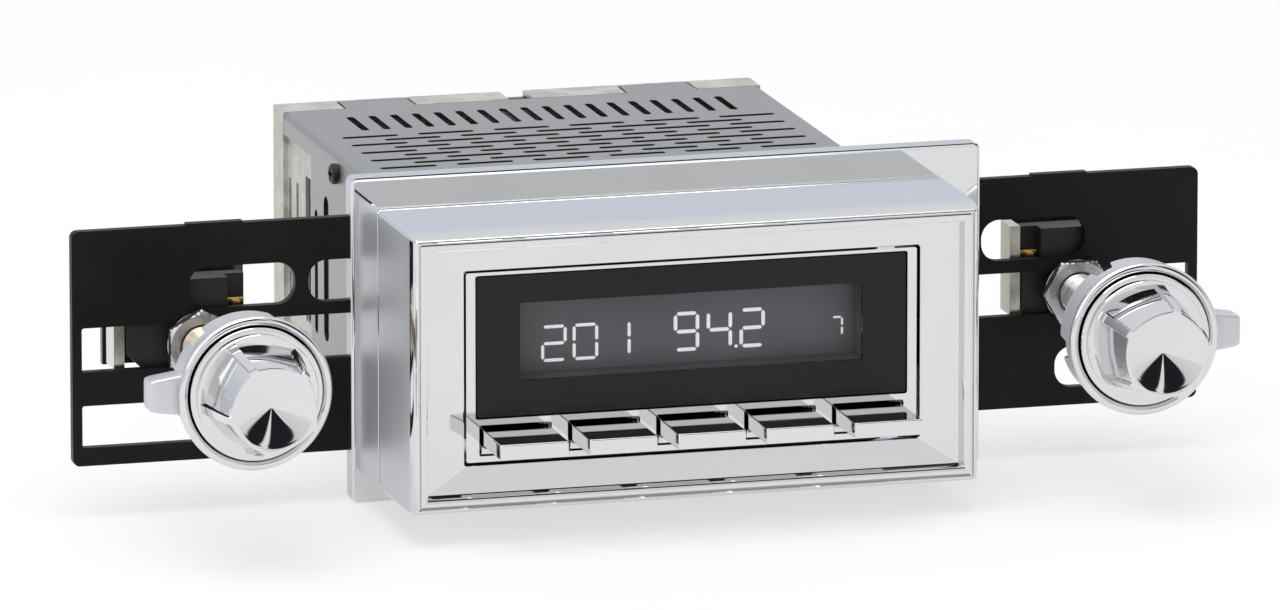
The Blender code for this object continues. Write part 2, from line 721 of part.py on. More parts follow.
def make_keys():
    """Five keys that share one mesh, each with a flange behind the face and a stem."""
    points = [(-reach, height) for reach, height in key_profile()]
    mesh = outline_mesh("key", points, KEY_WIDTH)
    mesh.transform(Matrix.Rotation(math.radians(90.0), 4, "Z")
                   @ Matrix.Rotation(math.radians(90.0), 4, "X"))
    half = KEY_WIDTH / 2 + KEY_SIDE_GAP + KEY_FLANGE_OVERLAP
    flange_back = KEY_FLANGE_REACH - KEY_FLANGE_DEPTH
    stem = KEY_STEM_WIDTH / 2
    rise = KEY_STEM_HEIGHT / 2
    low = FACE_LOW + NOSE_WALL + SEAT_GAP
    high = KEY_REAR_TOP + KEY_SIDE_GAP + KEY_FLANGE_OVERLAP
    for number, place in enumerate(key_places(), start=1):
        matrix = Matrix.Translation((place, FLANGE_Y, 0.0))
        key = add_part("key_%d" % number, mesh.copy(), "chrome", matrix)
        round_edges(key, KEY_EDGE_ROUNDING, 2)
        flange = ((place - half, place + half), (-KEY_FLANGE_REACH, -flange_back), (low, high))
        tail = ((place - stem, place + stem), (-KEY_FLANGE_REACH, -KEY_STEM_BACK_REACH),
                (KEY_MIDDLE - rise, KEY_MIDDLE + rise))
        root = ((place - stem, place + stem), (-FACE_REACH, -flange_back),
                (KEY_MIDDLE - rise, KEY_MIDDLE + rise))
        join(key, block_cutter("key_flange_%d" % number, [flange]))
        join(key, block_cutter("key_stem_%d" % number, [tail]))
        join(key, block_cutter("key_root_%d" % number, [root]))
    bpy.data.meshes.remove(mesh)


def make_bulkhead():
    """The chassis front wall with a hole for the wires of the face."""
    wall = block("front_bulkhead", both(TRAY_HALF_WIDTH),
                 (BULKHEAD_DEPTH, BULKHEAD_DEPTH + BULKHEAD_SHEET), (BODY_LOW, TRAY_RIM),
                 "galvanised steel")
    hole = (both(WIRE_HOLE_HALF_WIDTH),
            (BULKHEAD_DEPTH - OVERRUN, BULKHEAD_DEPTH + BULKHEAD_SHEET + OVERRUN),
            (WIRE_HOLE_LOW, WIRE_HOLE_LOW + WIRE_HOLE_HEIGHT))
    cut(wall, block_cutter("wire_hole", [hole]))


def side_slots(depths, widths, tops):
    """Slots through both sides of the chassis."""
    across = both(BODY_HALF_WIDTH + OVERRUN)
    return [(across, (depth - width / 2, depth + width / 2), (SIDE_SLOT_LOW, top))
            for depth, width, top in zip(depths, widths, tops)]


def tab_span(place, gap):
    """A cover tab's low and high places along X, with a gap on both sides."""
    half = COVER_TAB_WIDTH / 2 + gap
    return (place - half, place + half)


def power_span(gap):
    """The power socket's box, grown by a gap."""
    rear = TRAY_REAR + POWER_STAND_OUT
    return ((-POWER_LEFT - gap, POWER_WIDTH - POWER_LEFT + gap), (rear - POWER_LENGTH, rear),
            (DECK - gap, DECK + POWER_HEIGHT + gap))


def aerial_height():
    """The height of the aerial socket's axis."""
    return DECK + AERIAL_LIFT


def screw_hole_spans():
    """Depth and height of each screw that goes into the chassis sides."""
    places = [(PLATE_SCREW_DEPTH, height) for height in PLATE_SCREW_HEIGHTS]
    return places + [(COVER_SCREW_DEPTH, COVER_SCREW_HEIGHT)]


def screw_holes(name):
    """Round holes through both chassis sides for all the side screws."""
    reach = LEAF_FAR + OVERRUN
    places = [((-height, depth), -reach, reach) for depth, height in screw_hole_spans()]
    mesh = cylinder_mesh(name, SCREW_SHANK_RADIUS + SEAT_GAP, places, SCREW_STEPS)
    turn = Matrix.Rotation(math.radians(90.0), 4, "Y")
    return add_cutter(name, mesh, at_flange() @ turn)


def make_tray():
    """The galvanised tray: floor, two sides, rear wall and the folded frame at the rear."""
    tray = block("chassis_tray", both(TRAY_HALF_WIDTH), (TRAY_FRONT, TRAY_FRAME_DEPTH + OVERRUN),
                 (BODY_LOW, TRAY_RIM), "galvanised steel")
    frame = (both(BODY_HALF_WIDTH), (TRAY_FRAME_DEPTH, TRAY_REAR), (BODY_LOW, BODY_TOP))
    join(tray, block_cutter("rear_frame", [frame]))
    floor = BODY_LOW + TRAY_SHEET
    inside = (both(TRAY_INNER), (TRAY_FRONT - OVERRUN, TRAY_REAR - TRAY_SHEET),
              (floor, BODY_TOP - TRAY_SHEET))
    mouth = (both(TRAY_INNER), (TRAY_FRONT - OVERRUN, TRAY_FRAME_DEPTH), (floor, BODY_TOP + OVERRUN))
    cut(tray, block_cutter("tray_inside", [inside]))
    cut(tray, block_cutter("tray_mouth", [mouth]))
    recess_deep = (TRAY_FRAME_DEPTH - OVERRUN, COVER_REAR + COVER_TAB_REACH + SEAT_GAP)
    recess_up = (TRAY_RIM - SEAT_GAP, BODY_TOP + OVERRUN)
    spans = [(tab_span(place, SEAT_GAP), recess_deep, recess_up) for place in COVER_TAB_PLACES]
    half = FRAME_GAP_WIDTH / 2
    spans.append(((FRAME_GAP_PLACE - half, FRAME_GAP_PLACE + half),
                  (TRAY_FRAME_DEPTH - OVERRUN, TRAY_REAR + OVERRUN), recess_up))
    cut(tray, block_cutter("frame_recesses", spans))
    slots = side_slots(TRAY_SLOT_DEPTHS + SKIRT_SLOT_DEPTHS, TRAY_SLOT_WIDTHS + SKIRT_SLOT_WIDTHS,
                       TRAY_SLOT_TOPS + SKIRT_SLOT_TOPS)
    cut(tray, block_cutter("tray_slots", slots))
    across, deep, up = power_span(SEAT_GAP)
    power = (across, (deep[0], TRAY_REAR + OVERRUN), up)
    cut(tray, block_cutter("power_cutout", [power]))
    hole = cylinder_mesh("aerial_cutout", AERIAL_RADIUS + SEAT_GAP,
                         [((AERIAL_PLACE, aerial_height()), -TRAY_REAR - OVERRUN,
                           -TRAY_FRAME_DEPTH - OVERRUN)], ROUND_STEPS)
    cut(tray, add_cutter("aerial_cutout", hole, facing(0.0, 0.0, 0.0)))
    cut(tray, screw_holes("tray_screw_holes"))


def long_vents():
    """The row of slots that run from front to rear."""
    up = (COVER_UNDERSIDE - OVERRUN, BODY_TOP + OVERRUN)
    spans = []
    for index in range(LONG_VENT_COUNT):
        middle = (index - (LONG_VENT_COUNT - 1) / 2) * LONG_VENT_PITCH
        across = (middle - LONG_VENT_WIDTH / 2, middle + LONG_VENT_WIDTH / 2)
        spans.append((across, (LONG_VENT_DEPTH, LONG_VENT_DEPTH + LONG_VENT_LENGTH), up))
    return spans


def cross_vents():
    """The staggered rows of slots that run from side to side."""
    up = (COVER_UNDERSIDE - OVERRUN, BODY_TOP + OVERRUN)
    spans = []
    for row in range(CROSS_VENT_ROWS):
        depth = CROSS_VENT_DEPTH - row * CROSS_VENT_ROW_PITCH
        count = CROSS_VENT_COUNT - row % 2
        for index in range(count):
            middle = (index - (count - 1) / 2) * CROSS_VENT_PITCH
            across = (middle - CROSS_VENT_LENGTH / 2, middle + CROSS_VENT_LENGTH / 2)
            spans.append((across, (depth - CROSS_VENT_WIDTH / 2, depth + CROSS_VENT_WIDTH / 2), up))
    return spans


def make_cover():
    """The grey cover: vented top, two skirts and two tabs that lie in the tray's frame."""
    cover = block("top_cover", both(BODY_HALF_WIDTH), (BULKHEAD_DEPTH, COVER_REAR),
                  (BODY_LOW + SKIRT_HEM_GAP, BODY_TOP), "cover steel")
    inside = (both(BODY_HALF_WIDTH - COVER_SHEET), (BULKHEAD_DEPTH - OVERRUN, COVER_REAR + OVERRUN),
              (BODY_LOW - OVERRUN, COVER_UNDERSIDE))
    rear_low = (both(BODY_HALF_WIDTH + OVERRUN), (SKIRT_REAR, COVER_REAR + OVERRUN),
                (BODY_LOW - OVERRUN, BODY_TOP - COVER_LIP_HEIGHT))
    cut(cover, block_cutter("cover_inside", [inside]))
    cut(cover, block_cutter("skirt_end", [rear_low]))
    tabs = [(tab_span(place, 0.0), (COVER_REAR - OVERRUN, COVER_REAR + COVER_TAB_REACH),
             (COVER_UNDERSIDE, BODY_TOP)) for place in COVER_TAB_PLACES]
    join(cover, block_cutter("cover_tabs", tabs))
    cut(cover, block_cutter("cover_vents", long_vents() + cross_vents()))
    slots = side_slots(SKIRT_SLOT_DEPTHS, SKIRT_SLOT_WIDTHS, SKIRT_SLOT_TOPS)
    cut(cover, block_cutter("skirt_slots", slots))
    cut(cover, screw_holes("cover_screw_holes"))


def make_insides():
    """Main board, tuner can and heat sink."""
    block("main_board", both(TRAY_INNER - SEAT_GAP), (MAIN_BOARD_FRONT, MAIN_BOARD_REAR),
          (MAIN_BOARD_LOW, MAIN_BOARD_TOP), "circuit board")
    block("tuner_can", (-TUNER_LEFT, TUNER_WIDTH - TUNER_LEFT),
          (TUNER_FRONT, TUNER_FRONT + TUNER_LENGTH), (DECK, DECK + TUNER_HEIGHT), "zinc")
    back = TRAY_REAR - TRAY_SHEET - SEAT_GAP
    sink = block("heat_sink", (SINK_LEFT, SINK_LEFT + SINK_WIDTH), (back - SINK_LENGTH, back),
                 (DECK, DECK + SINK_HEIGHT), "aluminium")
    spans = []
    count = int((SINK_WIDTH - SINK_FIN) / SINK_FIN_PITCH)
    for index in range(count):
        low = SINK_LEFT + SINK_FIN + index * SINK_FIN_PITCH
        spans.append(((low, low + SINK_FIN_PITCH - SINK_FIN),
                      (back - SINK_LENGTH - OVERRUN, back - SINK_BASE),
                      (DECK - OVERRUN, DECK + SINK_HEIGHT + OVERRUN)))
    cut(sink, block_cutter("sink_gaps", spans))


def make_sockets():
    """The power socket, open to the rear, and the round aerial socket."""
    across, deep, up = power_span(0.0)
    socket = block("power_socket", across, deep, up, "black plastic")
    cavity = ((across[0] + POWER_WALL, across[1] - POWER_WALL),
              (deep[1] - POWER_CAVITY_DEPTH, deep[1] + OVERRUN),
              (up[0] + POWER_WALL, up[1] - POWER_WALL))
    cut(socket, block_cutter("power_cavity", [cavity]))
    bore_end = AERIAL_BORE_DEPTH - AERIAL_LENGTH
    profile = [(0.0, bore_end), (AERIAL_BORE_RADIUS, bore_end),
               (AERIAL_BORE_RADIUS, -AERIAL_LENGTH), (AERIAL_RADIUS, -AERIAL_LENGTH),
               (AERIAL_RADIUS, 0.0), (0.0, 0.0)]
    matrix = facing(AERIAL_PLACE, REAR_REACH - AERIAL_LENGTH, aerial_height())
    turned("aerial_socket", profile[::-1], False, SHAFT_STEPS, "nickel", matrix)


def plate_outline():
    """A mounting plate's outline, counted outward from the radio's middle."""
    near = FACE_HALF_WIDTH + OPENING_GAP
    far = PLATE_HALF_SPAN - PLATE_CORNER
    points = [(near, PLATE_LOW)]
    points += arc((far, PLATE_LOW + PLATE_CORNER), PLATE_CORNER, 270.0, 360.0, ARC_STEPS)
    points += arc((far, PLATE_TOP - PLATE_CORNER), PLATE_CORNER, 0.0, 90.0, ARC_STEPS)
    points += [(PLATE_RISE_FAR, PLATE_TOP), (PLATE_RISE_FAR, PLATE_TOP + PLATE_RISE),
               (PLATE_RISE_NEAR, PLATE_TOP + PLATE_RISE), (PLATE_RISE_NEAR, PLATE_TOP),
               (near, PLATE_TOP)]
    return points


def plate_slots():
    """The outlines of a plate's slots, counted outward."""
    upper_radius = UPPER_SLOT_HEIGHT / 2 - SLOT_CORNER
    upper_high = UPPER_SLOT_LOW + UPPER_SLOT_HEIGHT
    lower_radius = LOWER_SLOT_HEIGHT / 2 - SLOT_CORNER
    return [
        rounded_slot(UPPER_SLOT_NEAR, UPPER_SLOT_FAR, UPPER_SLOT_LOW, upper_high,
                     upper_radius, upper_radius),
        rounded_slot(INNER_SLOT_NEAR, INNER_SLOT_FAR, UPPER_SLOT_LOW, upper_high,
                     upper_radius, upper_radius),
        rounded_slot(MIDDLE_SLOT_NEAR, SLOT_FAR, MIDDLE_SLOT_LOW, MIDDLE_SLOT_LOW + MIDDLE_SLOT_HEIGHT,
                     SLOT_CORNER, SLOT_CORNER),
        rounded_slot(LOWER_SLOT_NEAR, SLOT_FAR, LOWER_SLOT_LOW, LOWER_SLOT_LOW + LOWER_SLOT_HEIGHT,
                     lower_radius, SLOT_CORNER),
    ]


def make_plate(side):
    """A slotted plate with a leaf folded back along the chassis side."""
    matrix = facing(0.0, PLATE_DEPTH + PLATE_SHEET / 2, 0.0)
    outline = on_side(side, plate_outline())
    plate = add_part(side_name(side, "mounting_plate"),
                     outline_mesh("plate", outline, PLATE_SHEET), "black plate", matrix)
    leaf = (span(side, LEAF_NEAR, LEAF_FAR), (PLATE_DEPTH + PLATE_SHEET / 2, LEAF_LENGTH),
            (LEAF_LOW, LEAF_LOW + LEAF_HEIGHT))
    join(plate, block_cutter(side_name(side, "leaf"), [leaf]))
    for number, points in enumerate(plate_slots(), start=1):
        name = side_name(side, "slot_%d" % number)
        mesh = outline_mesh(name, on_side(side, points), PLATE_SHEET + 2 * OVERRUN)
        cut(plate, add_cutter(name, mesh, matrix))
    cut(plate, screw_holes(side_name(side, "leaf_holes")))


def make_side_screw(name, side, seat, depth, height, colour):
    """A small cross-head screw that goes inward from its seat on a chassis side."""
    top = SCREW_HEAD_HEIGHT
    profile = [(0.0, top), (SCREW_HEAD_RADIUS - SCREW_DRIVE / 2, top),
               (SCREW_HEAD_RADIUS, top - SCREW_DRIVE / 2), (SCREW_HEAD_RADIUS, 0.0),
               (SCREW_SHANK_RADIUS, 0.0), (SCREW_SHANK_RADIUS, -SCREW_LENGTH), (0.0, -SCREW_LENGTH)]
    turn = Matrix.Rotation(math.radians(side * 90.0), 4, "Y")
    matrix = Matrix.Translation((side * (seat + SEAT_GAP), FLANGE_Y + depth, height)) @ turn
    screw = turned(name, profile, False, SCREW_STEPS, colour, matrix)
    half = SCREW_DRIVE / 2
    long = SCREW_HEAD_RADIUS - SCREW_DRIVE
    up = (top - SCREW_DRIVE, top + OVERRUN)
    for label, across, deep in (("a", both(long), both(half)), ("b", both(half), both(long))):
        mesh = blocks_mesh(name + "_drive_" + label, [(across, deep, up)])
        cut(screw, add_cutter(name + "_drive_" + label, mesh, matrix))


def make_side_screws():
    """Two screws in each leaf and one at the top of each skirt."""
    for side in (-1, 1):
        for number, height in enumerate(PLATE_SCREW_HEIGHTS, start=1):
            make_side_screw(side_name(side, "plate_screw_%d" % number), side, LEAF_FAR,
                            PLATE_SCREW_DEPTH, height, "zinc")
        make_side_screw(side_name(side, "cover_screw"), side, BODY_HALF_WIDTH, COVER_SCREW_DEPTH,
                        COVER_SCREW_HEIGHT, "black plastic")


def make_empty(name, across, depth, up, parent):
    """An empty on a joint's axis, which carries the pieces that move there."""
    empty = bpy.data.objects.new(name, None)
    bpy.data.collections["car_radio"].objects.link(empty)
    place(empty, Matrix.Translation((across, FLANGE_Y + depth, up)), parent)
    return empty


def place(item, matrix, parent):
    """Put an item at a place in the world, under its parent."""
    if parent:
        item.parent = parent
        item.matrix_parent_inverse = parent.matrix_world.inverted()
    item.matrix_world = matrix
    bpy.context.view_layer.update()


def hang(part, parent):
    """Put a finished piece under an empty without moving it."""
    place(part, part.matrix_world.copy(), parent)


def axis_matrix(side, turn):
    """The place of a turned piece on a shaft's axis."""
    return facing(side * SHAFT_PLACE, 0.0, SHAFT_HEIGHT) @ Matrix.Rotation(math.radians(turn), 4, "Z")


def housing_posts(side):
    """The middles of the housing's four posts, in local X and Y."""
    near = side * (HOUSING_NEAR + HOUSING_POST_INSET)
    far = side * (HOUSING_FAR - HOUSING_POST_INSET)
    low = HOUSING_LOW + HOUSING_POST_INSET
    high = HOUSING_TOP - HOUSING_POST_INSET
    return [(near, low), (near, high), (far, low), (far, high)]


def make_housing(side, carrier):
    """The black housing with its shaft bore, its chamber and the posts behind it."""
    corner = HOUSING_CORNER
    points = [(HOUSING_NEAR, HOUSING_LOW), (HOUSING_FAR - corner, HOUSING_LOW),
              (HOUSING_FAR, HOUSING_LOW + corner), (HOUSING_FAR, HOUSING_TOP),
              (HOUSING_NEAR, HOUSING_TOP)]
    mesh = outline_mesh("housing", on_side(side, points), HOUSING_THICKNESS)
    middle = facing(0.0, HOUSING_FRONT + HOUSING_THICKNESS / 2, 0.0)
    housing = add_part(side_name(side, "controller_housing"), mesh, "black plastic", middle)
    notch = (span(side, HOUSING_NEAR - OVERRUN, HOUSING_NEAR + NOTCH_WIDTH),
             (HOUSING_FRONT - OVERRUN, HOUSING_FRONT + NOTCH_DEPTH), (NOTCH_LOW, HOUSING_TOP + OVERRUN))
    cut(housing, block_cutter(side_name(side, "housing_notch"), [notch]))
    posts = [(post, -HOUSING_BACK - HOUSING_POST_LENGTH, -HOUSING_BACK + OVERRUN)
             for post in housing_posts(side)]
    post_mesh = cylinder_mesh("posts", HOUSING_POST_RADIUS, posts, SCREW_STEPS)
    join(housing, add_cutter(side_name(side, "housing_posts"), post_mesh, facing(0.0, 0.0, 0.0)))
    chamber = CHAMBER_RADIUS
    neck = OUTER_SHAFT_RADIUS + SEAT_GAP
    profile = [(0.0, OVERRUN - HOUSING_FRONT), (neck, OVERRUN - HOUSING_FRONT),
               (neck, -CHAMBER_FRONT), (chamber, -CHAMBER_FRONT), (chamber, -CHAMBER_BACK),
               (0.0, -CHAMBER_BACK)]
    bore = add_cutter(side_name(side, "housing_bore"), turned_mesh("bore", profile, False),
                      axis_matrix(side, 0.0))
    screw_round(bore, SHAFT_STEPS)
    cut(housing, bore)
    hang(housing, carrier)


def make_controller_card(side, carrier):
    """The circuit board behind the housing."""
    card = block(side_name(side, "controller_board"), span(side, CARD_NEAR, CARD_FAR),
                 (CARD_FRONT, CARD_FRONT + CARD_THICKNESS),
                 (HOUSING_LOW - CARD_MARGIN, HOUSING_TOP + CARD_MARGIN), "circuit board")
    hang(card, carrier)


def make_bracket(side, carrier):
    """The bright metal strip, on the left housing's outer side and the right one's inner side."""
    near = HOUSING_FAR + SEAT_GAP if side < 0 else HOUSING_NEAR - SEAT_GAP - BRACKET_WIDTH
    bracket = block(side_name(side, "bracket"), span(side, near, near + BRACKET_WIDTH),
                    (HOUSING_FRONT, HOUSING_BACK), (HOUSING_LOW, HOUSING_LOW + BRACKET_HEIGHT),
                    "nickel")
    hang(bracket, carrier)


def make_pins(side, carrier):
    """The connector in the housing's notch, with its row of pins."""
    near = HOUSING_NEAR + SEAT_GAP
    far = HOUSING_NEAR + NOTCH_WIDTH - SEAT_GAP
    back = HOUSING_FRONT + NOTCH_DEPTH - SEAT_GAP
    front = back - PIN_HEADER_THICKNESS
    low = NOTCH_LOW + SEAT_GAP
    pins = block(side_name(side, "connector"), span(side, near, far), (front, back),
                 (low, low + PIN_HEADER_HEIGHT), "gold")
    middle = (near + far) / 2
    spans = []
    for index in range(PIN_COUNT):
        height = low + PIN_PITCH / 2 + index * PIN_PITCH
        spans.append((span(side, middle - PIN_SIZE, middle + PIN_SIZE),
                      (front - PIN_LENGTH, front + PIN_HEADER_THICKNESS / 2),
                      (height - PIN_SIZE / 2, height + PIN_SIZE / 2)))
    join(pins, block_cutter(side_name(side, "pins"), spans))
    hang(pins, carrier)


def tube_profile(outer, inner, front, back):
    """A ring or tube, drawn down its outer side and up its bore."""
    return [(inner, front), (outer, front), (outer, back), (inner, back)]


def make_bushing(side, carrier):
    """The threaded bushing, from the housing forward to the rear knob."""
    profile = tube_profile(BUSHING_RADIUS, OUTER_SHAFT_RADIUS + RUN_GAP, BUSHING_REACH,
                           SEAT_GAP - HOUSING_FRONT)
    bushing = turned(side_name(side, "bushing"), profile, True, SHAFT_STEPS, "brass",
                     axis_matrix(side, 0.0))
    hang(bushing, carrier)


def make_washer(side, carrier):
    """The washer on the plate."""
    profile = tube_profile(WASHER_RADIUS, BUSHING_RADIUS + SEAT_GAP,
                           WASHER_THICKNESS - WASHER_BACK, -WASHER_BACK)
    washer = turned(side_name(side, "washer"), profile, True, SHAFT_STEPS, "zinc",
                    axis_matrix(side, 0.0))
    hang(washer, carrier)


def make_nut(side, carrier):
    """The six-sided nut, with a chamfer on its front corners."""
    radius = NUT_FLATS / math.sqrt(3.0)
    points = arc((0.0, 0.0), radius, 0.0, 300.0, 5)
    middle = NUT_THICKNESS / 2 - NUT_BACK
    matrix = axis_matrix(side, NUT_TURNS[side]) @ Matrix.Translation((0.0, 0.0, middle))
    nut = add_part(side_name(side, "hex_nut"), outline_mesh("nut", points, NUT_THICKNESS), "zinc",
                   matrix)
    front = NUT_THICKNESS - NUT_BACK
    hole = turned_mesh("nut_hole", [(0.0, front + OVERRUN), (BUSHING_RADIUS + SEAT_GAP, front + OVERRUN),
                                    (BUSHING_RADIUS + SEAT_GAP, -NUT_BACK - OVERRUN),
                                    (0.0, -NUT_BACK - OVERRUN)], False)
    opening = add_cutter(side_name(side, "nut_hole"), hole, axis_matrix(side, 0.0))
    screw_round(opening, SHAFT_STEPS)
    cut(nut, opening)
    inner = NUT_FLATS / 2
    outer = radius + OVERRUN
    slope = NUT_CHAMFER * (outer - inner) / (radius - inner)
    collar = [(inner, front), (inner, front + OVERRUN), (outer, front + OVERRUN),
              (outer, front - slope)]
    corner = add_cutter(side_name(side, "nut_chamfer"), turned_mesh("chamfer", collar, True),
                        axis_matrix(side, 0.0))
    screw_round(corner, SHAFT_STEPS)
    cut(nut, corner)
    hang(nut, carrier)


def make_outer_shaft(side, carrier):
    """The tubular shaft that the rear knob turns."""
    profile = tube_profile(OUTER_SHAFT_RADIUS, INNER_SHAFT_RADIUS + RUN_GAP,
                           RING_WEB_REACH - SEAT_GAP, -OUTER_SHAFT_BACK)
    shaft = turned(side_name(side, "outer_shaft"), profile, True, SHAFT_STEPS, "steel",
                   axis_matrix(side, 0.0))
    hang(shaft, carrier)


def make_inner_shaft(side, carrier):
    """The shaft that the front knob turns and pushes."""
    front = KNOB_BASE_REACH + KNOB_BORE_DEPTH - SEAT_GAP
    profile = [(0.0, front), (INNER_SHAFT_RADIUS, front), (INNER_SHAFT_RADIUS, -INNER_SHAFT_BACK),
               (0.0, -INNER_SHAFT_BACK)]
    shaft = turned(side_name(side, "inner_shaft"), profile, False, SHAFT_STEPS, "steel",
                   axis_matrix(side, 0.0))
    hang(shaft, carrier)


def make_plunger(side, carrier):
    """The push switch's plunger behind the inner shaft."""
    front = -INNER_SHAFT_BACK - SEAT_GAP
    back = front - PLUNGER_THICKNESS
    profile = [(0.0, front), (PLUNGER_RADIUS, front), (PLUNGER_RADIUS, back), (0.0, back)]
    plunger = turned(side_name(side, "push_plunger"), profile, False, SHAFT_STEPS, "black plastic",
                     axis_matrix(side, 0.0))
    hang(plunger, carrier)


def ring_profile():
    """The rear knob's section: dish, rounded bead, skirt, web and hub."""
    bead = RING_BEAD_RADIUS
    middle = (RING_RADIUS - bead, RING_REACH - bead)
    inner = middle[0] - bead
    bore = OUTER_SHAFT_RADIUS + SEAT_GAP
    skirt_inner = RING_SKIRT_RADIUS - RING_SKIRT_WALL
    web_back = RING_WEB_REACH - RING_WEB
    points = [(bore, RING_WEB_REACH), (inner, RING_WEB_REACH)]
    points += arc(middle, bead, 180.0, 0.0, ARC_STEPS + 1)
    points += [(RING_RADIUS, middle[1] - bead), (RING_SKIRT_RADIUS, middle[1] - 2 * bead),
               (RING_SKIRT_RADIUS, RING_BACK_REACH), (skirt_inner, RING_BACK_REACH),
               (skirt_inner, web_back), (HUB_RADIUS, web_back), (HUB_RADIUS, RING_BACK_REACH),
               (bore, RING_BACK_REACH)]
    return points


def make_rear_knob(side, carrier):
    """The rear knob, with its finger tab to the outside and notches in its skirt."""
    knob = turned(side_name(side, "rear_knob"), ring_profile(), True, ROUND_STEPS, "chrome",
                  axis_matrix(side, 0.0))
    root = RING_SKIRT_RADIUS - RING_SKIRT_WALL / 2
    tip = TAB_TIP_HEIGHT / 2
    foot = TAB_ROOT_HEIGHT / 2
    rounding = TAB_EDGE_ROUNDING
    outline = [(root, -foot), (TAB_REACH - rounding, -tip), (TAB_REACH, rounding - tip),
               (TAB_REACH, tip - rounding), (TAB_REACH - rounding, tip), (root, foot)]
    name = side_name(side, "tab")
    middle = Matrix.Translation((0.0, 0.0, TAB_BACK_REACH + TAB_DEPTH / 2))
    tab = add_cutter(name, outline_mesh(name, on_side(side, outline), TAB_DEPTH),
                     axis_matrix(side, 0.0) @ middle)
    join(knob, tab)
    spans = [((RING_SKIRT_RADIUS - RING_SKIRT_WALL - OVERRUN, RING_RADIUS + OVERRUN),
              both(SKIRT_NOTCH_WIDTH / 2),
              (RING_BACK_REACH - OVERRUN, RING_BACK_REACH + SKIRT_NOTCH_DEPTH))]
    for index in range(SKIRT_NOTCH_COUNT):
        turn = SKIRT_NOTCH_TURN + index * 360.0 / SKIRT_NOTCH_COUNT
        turn = turn if side < 0 else 180.0 - turn
        name = side_name(side, "notch_%d" % (index + 1))
        cut(knob, add_cutter(name, blocks_mesh(name, spans), axis_matrix(side, turn)))
    hang(knob, carrier)


def knob_profile():
    """The front knob's section: dished face, rim, tapering body, shoulder, base and bore."""
    bore = INNER_SHAFT_RADIUS + SEAT_GAP
    rounding = KNOB_RIM_ROUNDING
    base_front = KNOB_BASE_REACH + KNOB_BASE_HEIGHT
    shoulder = base_front + KNOB_SHOULDER_HEIGHT
    bore_front = KNOB_BASE_REACH + KNOB_BORE_DEPTH
    return [(0.0, KNOB_REACH - KNOB_DISH_DEPTH),
            (KNOB_DISH_RADIUS, KNOB_REACH - rounding),
            (KNOB_DISH_RADIUS + rounding, KNOB_REACH),
            (KNOB_FACE_RADIUS - rounding, KNOB_REACH),
            (KNOB_FACE_RADIUS, KNOB_REACH - rounding),
            (KNOB_BODY_RADIUS, shoulder),
            (KNOB_SHOULDER_RADIUS, shoulder - rounding), (KNOB_SHOULDER_RADIUS, base_front),
            (KNOB_BASE_RADIUS, base_front - rounding), (KNOB_BASE_RADIUS, KNOB_BASE_REACH),
            (bore, KNOB_BASE_REACH), (bore, bore_front), (0.0, bore_front)]


def facet_mesh(name):
    """A box whose inner side lies on one flat facet and leans with the knob's taper."""
    low = KNOB_BASE_REACH + KNOB_BASE_HEIGHT + KNOB_SHOULDER_HEIGHT
    start = Vector((FACET_BASE_RADIUS, 0.0, low))
    end = Vector((FACET_FACE_RADIUS, 0.0, KNOB_REACH))
    along = end - start
    outward = Vector((along.z, 0.0, -along.x)).normalized() * FACET_CUT / 2
    lean = Matrix.Rotation(math.atan2(along.x, along.z), 4, "Y")
    middle = (start + end) / 2 + outward + along.normalized() * OVERRUN / 2
    size = Matrix.Diagonal((FACET_CUT, 2 * KNOB_BASE_RADIUS, along.length + OVERRUN, 1.0))
    shape = bmesh.new()
    bmesh.ops.create_cube(shape, size=1.0, matrix=Matrix.Translation(middle) @ lean @ size)
    return finish_mesh(shape, name)


def make_front_knob(side, carrier):
    """The front knob, with flat facets between narrow ridges."""
    knob = turned(side_name(side, "front_knob"), knob_profile(), False, ROUND_STEPS, "chrome",
                  axis_matrix(side, KNOB_TURNS[side]))
    half_turn = 180.0 / FACET_COUNT
    for index in range(FACET_COUNT):
        turn = KNOB_TURNS[side] + half_turn + index * 2 * half_turn
        name = side_name(side, "facet_%d" % (index + 1))
        cut(knob, add_cutter(name, facet_mesh(name), axis_matrix(side, turn)))
    hang(knob, carrier)


def make_controller(side):
    """One shaft control: what is clamped in the slot, and what turns and pushes in it."""
    clamped = make_empty(side_name(side, "slot_axis"), side * SHAFT_PLACE, 0.0, SHAFT_HEIGHT, None)
    make_housing(side, clamped)
    make_controller_card(side, clamped)
    make_bracket(side, clamped)
    make_pins(side, clamped)
    make_bushing(side, clamped)
    make_washer(side, clamped)
    make_nut(side, clamped)
    ring = make_empty(side_name(side, "ring_axis"), side * SHAFT_PLACE, 0.0, SHAFT_HEIGHT, clamped)
    make_outer_shaft(side, ring)
    make_rear_knob(side, ring)
    push = make_empty(side_name(side, "push_axis"), side * SHAFT_PLACE, 0.0, SHAFT_HEIGHT, clamped)
    make_plunger(side, push)
    turn = make_empty(side_name(side, "knob_axis"), side * SHAFT_PLACE, 0.0, SHAFT_HEIGHT, push)
    make_inner_shaft(side, turn)
    make_front_knob(side, turn)


def main():
    """Build the whole radio."""
    clear_scene()
    new_collection("car_radio")
    new_collection("cutters")
    make_rear_trim()
    make_front_trim()
    make_faceplate()
    make_nose_housing()
    make_display()
    make_key_mat()
    make_keys()
    make_bulkhead()
    make_tray()
    make_cover()
    make_insides()
    make_sockets()
    for side in (-1, 1):
        make_plate(side)
        make_controller(side)
    make_side_screws()


if __name__ == "__main__":
    main()
